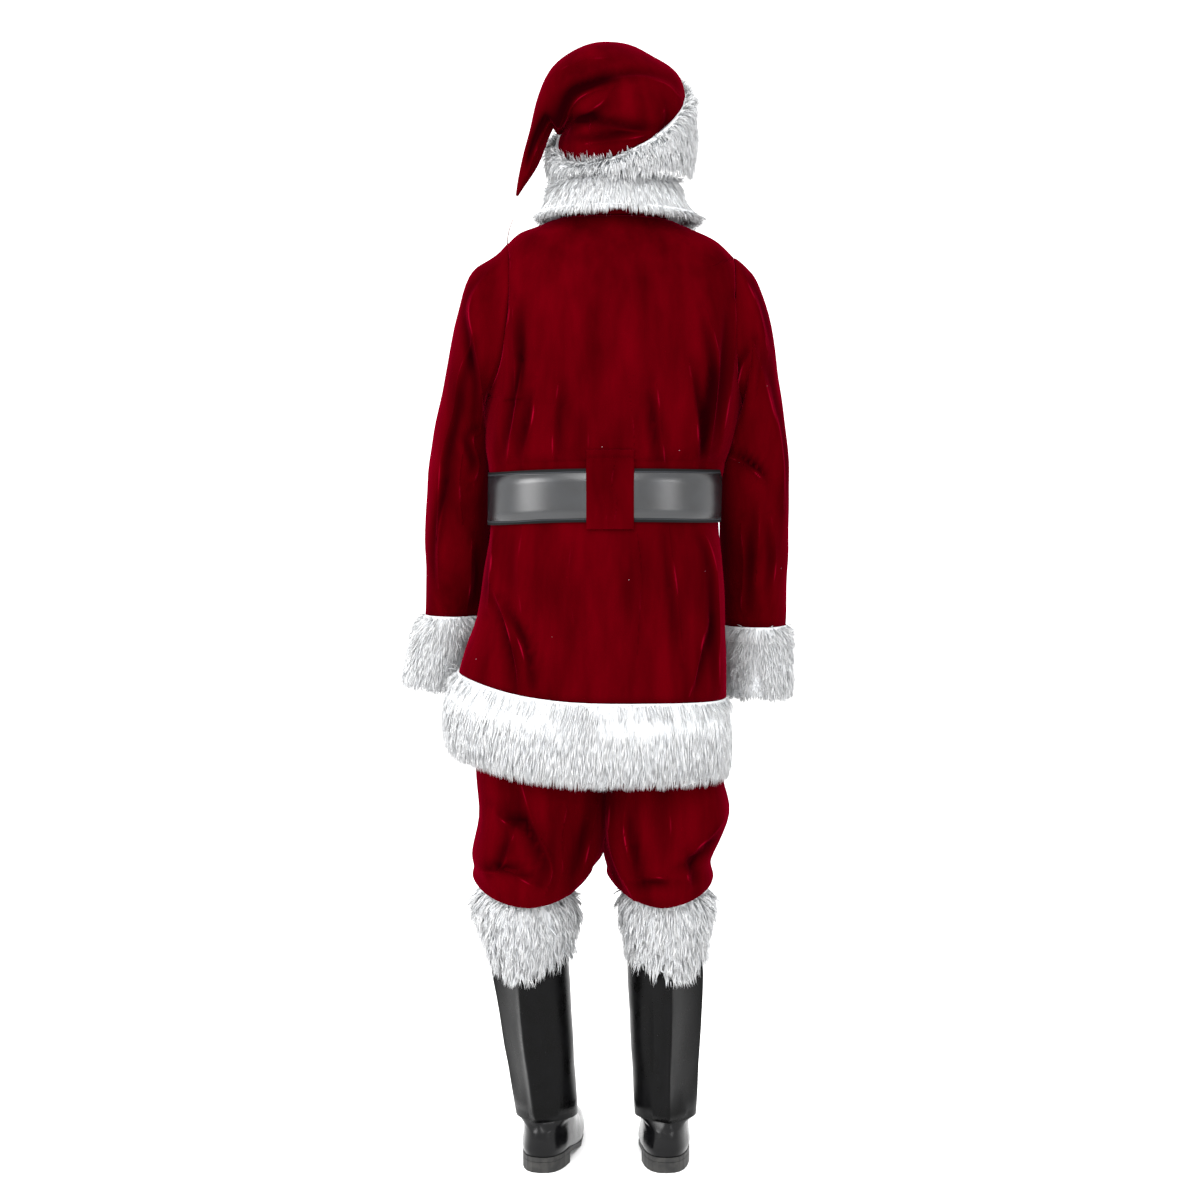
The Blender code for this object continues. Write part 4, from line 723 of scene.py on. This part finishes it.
class Trim:
    """A plush band round an axis that runs from its upper edge to its lower edge."""

    def __init__(self, node, first, last):
        self.node = node
        self.first = np.asarray(first, float)
        self.way = unit(np.asarray(last, float) - self.first)
        self.across = unit(np.cross(self.way, (0.0, 1.0, 0.1)))
        self.other = np.cross(self.way, self.across)
        along, turn, _ = self.place(points_of(bpy.data.objects[node]))
        bins = (turn / math.tau * TRIM_BINS).astype(int) % TRIM_BINS
        filled = [index for index in range(TRIM_BINS) if (bins == index).sum() > 3]
        self.centres = (np.array(filled) + 0.5) * math.tau / TRIM_BINS
        self.upper = np.array([along[bins == index].min() for index in filled])
        self.lower = np.array([along[bins == index].max() for index in filled])

    def place(self, points):
        """Distance along the axis, angle round it and direction away from it."""
        offset = points - self.first
        along = offset @ self.way
        turn = np.arctan2(offset @ self.other, offset @ self.across) % math.tau
        away = unit(offset - along[:, None] * self.way)
        return along, turn, away

    def share(self, points):
        """0 at the upper edge to 1 at the lower edge, and the metres left to the lower edge."""
        along, turn, _ = self.place(points)
        upper = np.interp(turn, self.centres, self.upper, period=math.tau)
        lower = np.interp(turn, self.centres, self.lower, period=math.tau)
        return (along - upper) / (lower - upper), lower - along


def backing(name, trim, sink, cut):
    """The trim's solid, smoothed, drawn in by sink and shortened by cut at its lower edge."""
    made = subdivided(object_from(quads_of(trim.node), name), 1)
    points = points_of(made)
    shares = np.clip(trim.share(points)[0], 0, 1)
    normal = normals_of(made)
    outer = np.clip((normal * trim.place(points)[2]).sum(axis=1) * 2, 0, 1)
    points = points - normal * (sink * outer)[:, None] - trim.way * (cut * shares)[:, None]
    set_points(made, points)
    finish_piece(made, plush, "white_plush", trim.node)
    store(made, "lie", normals_of(made))
    return made

# %% One lock
# Two rings of three points, at height 0 and 0.5, and a tip at 1. The frame that a lock is placed in
# is left-handed, and its faces are wound to point outward there.
RING = [(0.0, 1.0), (-math.sqrt(0.75), -0.5), (math.sqrt(0.75), -0.5)]
LOCK_POINTS = np.array([(x, y, height) for height in (0, 0.5) for x, y in RING] + [(0, 0, 1)])
LOCK_FACES = np.array([(1, 2, 0)] + [
    face for a, b in ((0, 1), (1, 2), (2, 0))
    for face in ((a, a + 3, b), (a + 3, b + 3, b), (6, b + 3, a + 3))])
print("one lock has", len(LOCK_FACES), "triangles")

# %% Roots spread over a backing
def spread_roots(made, count, seed, weigh):
    """Random places on a mesh, even by area, with the normals there. weigh favours some faces."""
    mesh = made.data
    mesh.calc_loop_triangles()
    corners = np.empty(len(mesh.loop_triangles) * 3, np.int32)
    mesh.loop_triangles.foreach_get("vertices", corners)
    corners = corners.reshape(-1, 3)
    three = points_of(made)[corners]
    cross = np.cross(three[:, 1] - three[:, 0], three[:, 2] - three[:, 0])
    area = np.linalg.norm(cross, axis=1) * weigh(three.mean(axis=1), unit(cross))
    chance = np.random.default_rng(seed)
    chosen = chance.choice(len(area), count, p=area / area.sum())
    share = chance.random((count, 2))
    share = np.where(share.sum(axis=1, keepdims=True) > 1, 1 - share, share)
    weights = np.column_stack([1 - share.sum(axis=1), share])[..., None]
    places = (three[chosen] * weights).sum(axis=1)
    normal = unit((normals_of(made)[corners[chosen]] * weights).sum(axis=1))
    return places, normal, chance


def tufted(roots, tips, pull, tuft_size, chance):
    """Draws the tips of neighbouring locks together. Each tuft takes about tuft_size locks."""
    heads = chance.choice(len(roots), max(1, len(roots) // tuft_size), replace=False)
    hold = roots * 0.7 + tips * 0.3
    tree = KDTree(len(heads))
    for index, head in enumerate(heads):
        tree.insert(hold[head], index)
    tree.balance()
    head = np.array([heads[tree.find(point)[1]] for point in hold])
    lengths = np.linalg.norm(tips - roots, axis=1)
    meeting = roots + (tips[head] - roots[head]) * (lengths / lengths[head])[:, None]
    drawn = meeting + (tips[head] - meeting) * 0.75
    strength = (pull * chance.uniform(0.3, 1.0, len(roots)))[:, None]
    return tips * (1 - strength) + drawn * strength

# %% A coat of locks
ROOT_DEPTH = 0.0015    # how far a lock starts below the surface
FLATNESS = 0.55        # a lock's thickness as a share of its width
BACK_FACE = -0.3       # a face turned this far from the surface's normal is a lock's back


def locks(name, roots, ways, lengths, widths, normal, chance, node, pull=0.5, tuft_size=9,
          bend=0.06, facing=None):
    """One mesh of locks from their roots, directions, lengths and half widths. They are lit like
    the surface below them, whose normals are facing, and their back faces like its back."""
    roots = roots - normal * ROOT_DEPTH
    tips = tufted(roots, roots + ways * lengths[:, None], pull, tuft_size, chance)
    middles = (roots + tips) / 2 + normal * (lengths * bend)[:, None]
    sideways = unit(np.cross(tips - roots, normal))
    upright = unit(np.cross(sideways, tips - roots))
    level = LOCK_POINTS[:, 2]
    line = sum(places[:, None] * (level == height)[None, :, None]
               for places, height in ((roots, 0), (middles, 0.5), (tips, 1)))
    narrow = np.where(level == 0.5, 0.75, 1.0) * widths[:, None]
    points = (line + sideways[:, None] * (LOCK_POINTS[:, 0] * narrow)[..., None]
              + upright[:, None] * (LOCK_POINTS[:, 1] * narrow * FLATNESS)[..., None])
    faces = LOCK_FACES[None] + (np.arange(len(roots)) * len(LOCK_POINTS))[:, None, None]
    mesh = bpy.data.meshes.new(name)
    mesh.from_pydata(points.reshape(-1, 3).tolist(), [], faces.reshape(-1, 3).tolist())
    made = put(name, mesh)
    # along greys each root as painted shade, and shade greys some locks at random, partly as
    # painted shade where locks part.
    store(made, "along", np.tile(level, len(roots)))
    store(made, "shade", np.repeat(chance.beta(1.2, 3.5, len(roots)), len(LOCK_POINTS)))
    lie = unit((normal if facing is None else facing) + chance.normal(0, 0.12, normal.shape))
    one, two, three = points[:, LOCK_FACES].transpose(2, 0, 1, 3)
    outward = unit(np.cross(two - one, three - one))
    back = np.where((outward * lie[:, None]).sum(axis=2) < BACK_FACE, -1.0, 1.0)
    store(made, "lie", np.repeat(lie[:, None] * back[..., None], 3, axis=1), "CORNER")
    return finish_piece(made, plush, "white_plush", node)


UPPER_EDGE = 0.10      # the share of a trim's height where locks may stand up
NO_HAIR = 0.02         # weight of a backing's inner faces, against 1 outside


def trim_coat(name, base, trim, count, seed, length, width, lift, flare=0.0, spread=0.12, pull=0.4,
              past=0.003, fluff=0.0, tuft_size=9):
    """Locks combed along a trim, from its upper edge to past metres beyond its lower edge. fluff is
    how far those at the upper edge stand up instead."""
    def weigh(places, normal):
        shares = trim.share(places)[0]
        outward = (normal * trim.place(places)[2]).sum(axis=1)
        dense = 1 + 2 * fluff * (shares < UPPER_EDGE)
        return np.where((outward > 0.1) | (shares > 0.94) & (outward > -0.6), dense, NO_HAIR)

    roots, normal, chance = spread_roots(base, count, seed, weigh)
    shares, left = trim.share(roots)
    shares = np.clip(shares, 0, 1)
    facing = unit(normal + trim.place(roots)[2] * 0.8)
    along = trim.way - facing * (facing @ trim.way)[:, None]
    rising = fluff * chance.uniform(0, 1, count) ** 1.3 * np.exp(-(shares / UPPER_EDGE) ** 2)
    ways = (unit(along) * (1 - 1.6 * rising)[:, None]
            + facing * (lift + flare * shares**2 + rising)[:, None])
    ways = unit(ways + chance.normal(0, spread, ways.shape))
    lengths = length * chance.uniform(0.75, 1.1, count) * (1 - 0.5 * rising)
    reach = left + past + chance.uniform(-0.004, 0.004, count)
    lengths = np.minimum(lengths, np.maximum(reach, length * 0.35))
    widths = width * chance.uniform(0.7, 1.25, count)
    return locks(name, roots, ways, lengths, widths, normal, chance, trim.node, pull=pull,
                 tuft_size=tuft_size)

# %% [markdown]
# ### Jacket trims
# The hem and the two cuffs hang straight down. The collar folds over and flares, so its locks
# splay outward. The band down the front lies flat. Each line below gives a trim's axis, how far
# its backing is drawn in and cut, and the locks' number, seed, length and half width.

# %% Hem, collar, cuffs and front band
def plush_trim(name, node, axis, sink, cut, count, seed, length, width, lower_edge=None, **coat):
    """A trim's backing and its locks. lower_edge may reshape the backing first."""
    trim = Trim(node, *axis)
    base = backing(f"{name}_backing", trim, sink, cut)
    if lower_edge:
        lower_edge(base)
    return base, trim_coat(f"{name}_fur", base, trim, count, seed, length, width, **coat)


hem = plush_trim("hem", "plush_hem", mm((10, 0, -700), (30, 0, -940)), 0.006, 0.010, 15500, 11,
                 0.038, 0.0011, lift=0.09, flare=0.02, spread=0.05, fluff=0.3, tuft_size=5)
collar = plush_trim("collar", "plush_collar", mm((0, 0, 100), (0, 0, -50)), 0.005, 0.008, 8500, 12,
                    0.030, 0.0011, lift=0.17, flare=0.20, spread=0.14, past=0.008, fluff=0.5)
CUFF_AXES = [("left", mm((270, -100, -620), (299, -155, -820)), 13),
             ("right", mm((-245, -85, -650), (-250, -130, -840)), 14)]
cuffs = [plush_trim(f"cuff_{side}", f"plush_cuff_{side}", axis, 0.006, 0.008, 4600, seed,
                    0.032, 0.0012, lift=0.18, flare=0.04, fluff=0.4)
         for side, axis, seed in CUFF_AXES]
band = plush_trim("front_band", "plush_front_band", mm((0, -20, -40), (12, -20, -800)),
                  0.004, 0.004, 3500, 15, 0.034, 0.0013, lift=0.12)

# %% [markdown]
# ### Boot tops
# The plush over each boot top is cut to a soft point, and its pile falls over the shaft.

# %% Boot tops
BOOT_TOP, BOOT_TOP_HEIGHT = -1.09, 0.14
POINT_RISE = 0.055     # the lower edge rises by no more than this beside the point
for side, across, seed, lowest, outward in (("left", 0.145, 16, 0.156, 1),
                                            ("right", -0.091, 17, -0.111, -1)):
    def to_a_point(base):
        points = points_of(base)
        aside = points[:, 0] - lowest
        slope = np.where(aside * outward > 0, 0.9, 0.5)
        reach = np.clip((BOOT_TOP - points[:, 2]) / BOOT_TOP_HEIGHT, 0, 1)
        points[:, 2] += np.minimum(np.abs(aside) * slope, POINT_RISE) * reach
        set_points(base, points)

    plush_trim(
        f"boot_top_{side}", f"boot_plush_{side}", [(across, 0.0, -1.05), (across, 0.0, -1.28)],
        0.005, 0.010, 5000, seed, 0.036, 0.0013, lower_edge=to_a_point, lift=0.16, flare=0.05,
        spread=0.24, pull=0.7, past=0.006, fluff=0.4, tuft_size=16)

# %% [markdown]
# ### Hat brim and pompom
# The brim's locks radiate from the crown, outward and down. The pompom is cut round, so its locks
# all point away from its middle.

# %% Brim
brim = plush_trim("brim", "hat_brim", mm((20, 0, 160), (20, 0, -60)), 0.005, 0.006, 8500, 18,
                  0.030, 0.0011, lift=0.16, spread=0.14, past=0.020, fluff=0.9)

# %% Pompom
POMPOM_RADIUS = 0.030
POMPOM_CORE = 0.62     # the core's share of the pompom's radius
POMPOM_LOCKS = 1500
pompom_place = np.mean(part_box("hat_pompom"), axis=0)
body = bmesh.new()
bmesh.ops.create_icosphere(body, subdivisions=3, radius=POMPOM_RADIUS * POMPOM_CORE)
bmesh.ops.translate(body, verts=body.verts, vec=pompom_place)
pompom = finish_piece(object_from(body, "pompom_core"), plush, "white_plush", "hat_pompom")
store(pompom, "lie", normals_of(pompom))
roots, normal, chance = spread_roots(pompom, POMPOM_LOCKS, 19, lambda places, facing: 1.0)
ways = unit(normal + chance.normal(0, 0.15, normal.shape))
pompom_fur = locks("pompom_fur", roots, ways, 0.0105 * chance.uniform(0.8, 1.05, POMPOM_LOCKS),
                   0.0015 * chance.uniform(0.7, 1.25, POMPOM_LOCKS),
                   unit(np.cross(normal, (0.3, 0.5, 0.8))), chance, "hat_pompom", pull=0.3,
                   bend=0.05, facing=normal)

# %% [markdown]
# ### Hat cord
# A thin twisted cord runs from the tip of the hat's tail over the left shoulder to the pompom.

# %% Hat cord
CORD_DIAMETER = 0.0024
CORD_ROUTE = [
    (0.1503, 0.0100, 0.0370), (0.1516, 0.0099, 0.0320), (0.1530, 0.0085, 0.0165),
    (0.1580, 0.0020, -0.0010), (0.1640, -0.0120, -0.0150), (0.1680, -0.0330, -0.0290),
    (0.1690, -0.0560, -0.0480), (0.1675, -0.0800, -0.0660), (0.1650, -0.0990, -0.0790),
    (0.1626, -0.1118, -0.0885),
]
route = curved(CORD_ROUTE, 8)
line = bpy.data.curves.new("hat_cord_line", "CURVE")
line.dimensions = "3D"
line.bevel_depth = CORD_DIAMETER / 2
line.bevel_resolution = 3
line.use_fill_caps = True
spline = line.splines.new("POLY")
spline.points.add(len(route) - 1)
for point, place in zip(spline.points, route):
    point.co = (*place, 1)
cord = put("hat_cord_line", line)
line.materials.append(hat_thread)
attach(cord, "root")
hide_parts("hat_cord")
cord_length = float(np.linalg.norm(np.diff(route, axis=0), axis=1).sum())
print("cord", round(cord_length * 1000), "mm")

# %% [markdown]
# ## Belt and buckle
# The strap is 86 mm wide. Its two edges are turned and stitched, so they are matt and stand up a
# little beside a glossier middle. Its material finds them with an attribute that runs from 0 at
# the upper edge to 1 at the lower edge, and the stitches with one that counts metres round it.

# %% Belt strap
EDGE_SHARE = 0.075     # each turned edge is 6.5 mm of the strap's 86 mm
STITCH_SHARE = 0.060
STITCHES = 260.0       # one stitch every 4 mm

strap_leather, tree, surface = new_material("stitched_belt_leather", Coat_Weight=0.0)
clouds, pebbles = clouds_and_pebbles(tree)
from_middle = math_of(tree, "ABSOLUTE",
                      math_of(tree, "SUBTRACT", attribute(tree, "level"), 0.5))
edge = add_node(tree, "MapRange", {"Value": from_middle, 1: 0.5 - EDGE_SHARE - 0.008,
                                   2: 0.5 - EDGE_SHARE}).outputs[0]
beat = math_of(tree, "MULTIPLY", attribute(tree, "distance"), STITCHES)
stitch = math_of(tree, "LESS_THAN", math_of(tree, "WRAP", beat, 1.0, 0.0), 0.62)
on_line = math_of(tree, "COMPARE", from_middle, 0.5 - STITCH_SHARE, 0.006)
face_colour = ramp_between(tree, clouds, (0.35, "#101113"), (0.7, "#191b1e"))
edged = mixed(tree, edge, face_colour, linear("#0b0b0c"))
gloss = add_node(tree, "MapRange", {"Value": edge, 3: 0.27, 4: 0.70})
mirror = add_node(tree, "MapRange", {"Value": edge, 3: 0.55, 4: 0.12})
relief = math_of(tree, "ADD", math_of(tree, "MULTIPLY", pebbles, 0.25), edge)
feed(tree, surface, Roughness=gloss.outputs[0], Specular_IOR_Level=mirror.outputs[0],
     Base_Color=mixed(tree, math_of(tree, "MULTIPLY", on_line, stitch), edged,
                      linear("#3c3f44")),
     Normal=bumps(tree, relief, 0.4, 0.0008))

strap = subdivided(object_from(quads_of("belt_strap"), "belt_strap_leather"), 2)
strap_place = Trim("belt_strap", (0.01, 0.0, -0.38), (0.01, 0.0, -0.52))
points = points_of(strap)
radius = np.linalg.norm(points[:, :2], axis=1).mean()
store(strap, "level", np.clip(strap_place.share(points)[0], 0, 1))
store(strap, "distance", strap_place.place(points)[1] * radius)
finish_piece(strap, strap_leather, "belt_leather", "belt_strap")

# %% Buckle
for node in ("buckle_frame", "buckle_prong"):
    bpy.data.objects[node].material_slots[0].material = brass
print("buckle in brass")

# %% [markdown]
# ## Boots
# The shafts are soft coated leather with a crease down the back and a few sags over the ankle.
# The shoes are stiffer and shine more. A seam closes the back of each.

# %% Boot shafts
LEFT_SHAFT_CORE = mm((145, 0, -1080), (131.5, 0, -1245), (106, 0, -1470))
RIGHT_SHAFT_CORE = mm((-91, 0, -1080), (-90, 0, -1245), (-90.5, 0, -1470))
LEFT_SHAFT_CREASES = creases(BEHIND,
    ([150, -1215, 146, -1300, 134, -1400, 126, -1466], 2, 5),
    ([82, -1440, 105, -1452, 130, -1448], 3, 6),
    ([120, -1260, 112, -1330, 104, -1400], 1.5, 8),
) + creases(IN_FRONT,
    ([70, -1430, 90, -1446, 120, -1452], 3, 6),
    ([150, -1240, 140, -1330, 126, -1420], 2, 8),
)
RIGHT_SHAFT_CREASES = creases(BEHIND,
    ([-98, -1210, -98, -1300, -95, -1400, -93, -1466], 2, 5),
    ([-120, -1446, -95, -1454, -66, -1444], 3, 6),
    ([-70, -1250, -72, -1330, -74, -1400], 1.5, 8),
) + creases(IN_FRONT,
    ([-120, -1436, -95, -1450, -60, -1448], 3, 6),
    ([-98, -1240, -96, -1330, -94, -1420], 2, 8),
)
SHAFT_BOTTOM, BOTTOM_BLEND = -1.462, 0.035


def flatten_side(made, core, fold, outward):
    """Flattens a shaft between the fold down its back and its outer side."""
    points = points_of(made)
    foot = to_line(points, core)[3]
    across, back = ((points - foot)[:, :2] * (outward, 1)).T
    radius = np.hypot(across, back)
    line = curved(fold)
    start = (np.interp(-points[:, 2], -line[:, 1], line[:, 0]) - foot[:, 0]) * outward
    share = (across - start) / (radius - start)
    level = (share > 0) & (back > 0)
    chord = foot[:, 1] + np.sqrt(np.maximum(radius**2 - start**2, 0)) * (1 - share)
    blend = np.clip((points[:, 2] - SHAFT_BOTTOM) / BOTTOM_BLEND, 0, 1)
    points[level, 1] += ((chord - points[:, 1]) * blend)[level]
    set_points(made, points)


shafts = []
for side, folds, core, outward in (("left", LEFT_SHAFT_CREASES, LEFT_SHAFT_CORE, 1),
                                   ("right", RIGHT_SHAFT_CREASES, RIGHT_SHAFT_CORE, -1)):
    shafts.append(cloth_piece(f"boot_shaft_{side}", folds, core, splits=1,
                              name=f"boot_{side}_leather", material=boot_leather,
                              slot="belt_leather"))
    flatten_side(shafts[-1], core, folds[0].line, outward)

# %% Shoes
for side in ("left", "right"):
    node = f"shoe_upper_{side}"
    upper = subdivided(object_from(quads_of(node), f"shoe_{side}_leather"), 2)
    finish_piece(upper, shoe_leather, "shoe_leather", node)
    for part in ("sole", "heel"):
        bpy.data.objects[f"shoe_{part}_{side}"].material_slots[0].material = sole_rubber

# %% [markdown]
# ## Floor, light and world
# A pale matt floor meets the soles. A white world gives most of the light, from all round. A key
# light at the left and a weaker one at the right are low and shape the arms and legs. One large
# soft light stands high above the camera, a small one fills the neck, and one on the far side
# separates the edges.

# %% Floor and lights
FLOOR = -1.550
floor_paint, tree, surface = new_material("pale_floor", Roughness=0.8,
                                          Base_Color=linear("#f4f4f4"))
body = bmesh.new()
bmesh.ops.create_grid(body, x_segments=1, y_segments=1, size=6.0)
bmesh.ops.translate(body, verts=body.verts, vec=(0, 0, FLOOR))
floor = object_from(body, "floor")
floor.data.materials.append(floor_paint)

LIGHTS = [   # name, place, aim, size, power
    ("key", (3.2, 2.0, 0.3), (0, 0, -0.5), 1.6, 120),
    ("fill", (-2.6, 2.8, -0.1), (0, 0, -0.6), 1.0, 34),
    ("above", (0.4, 3.4, 2.4), (0, 0, -0.6), 2.4, 100),
    ("neck", (0.2, 2.6, 0.5), (0.0, 0.1, 0.1), 0.8, 22),
    ("rim", (0.6, -2.6, 2.2), (0, 0, -0.4), 2.0, 50),
]
for name, place, target, size, power in LIGHTS:
    lamp = bpy.data.lights.new(name, "AREA")
    lamp.shape = "SQUARE"
    lamp.size = size
    lamp.energy = power
    aim(put(name, lamp), place, target)
world = bpy.data.worlds.new("studio")
bpy.context.scene.world = world
world.use_nodes = True
background = world.node_tree.nodes["Background"]
background.inputs["Color"].default_value = linear("#ffffff")
background.inputs["Strength"].default_value = 1.85
print("floor and", len(LIGHTS), "lights ready")

# %% [markdown]

# %% Finish
print("suit dressed")
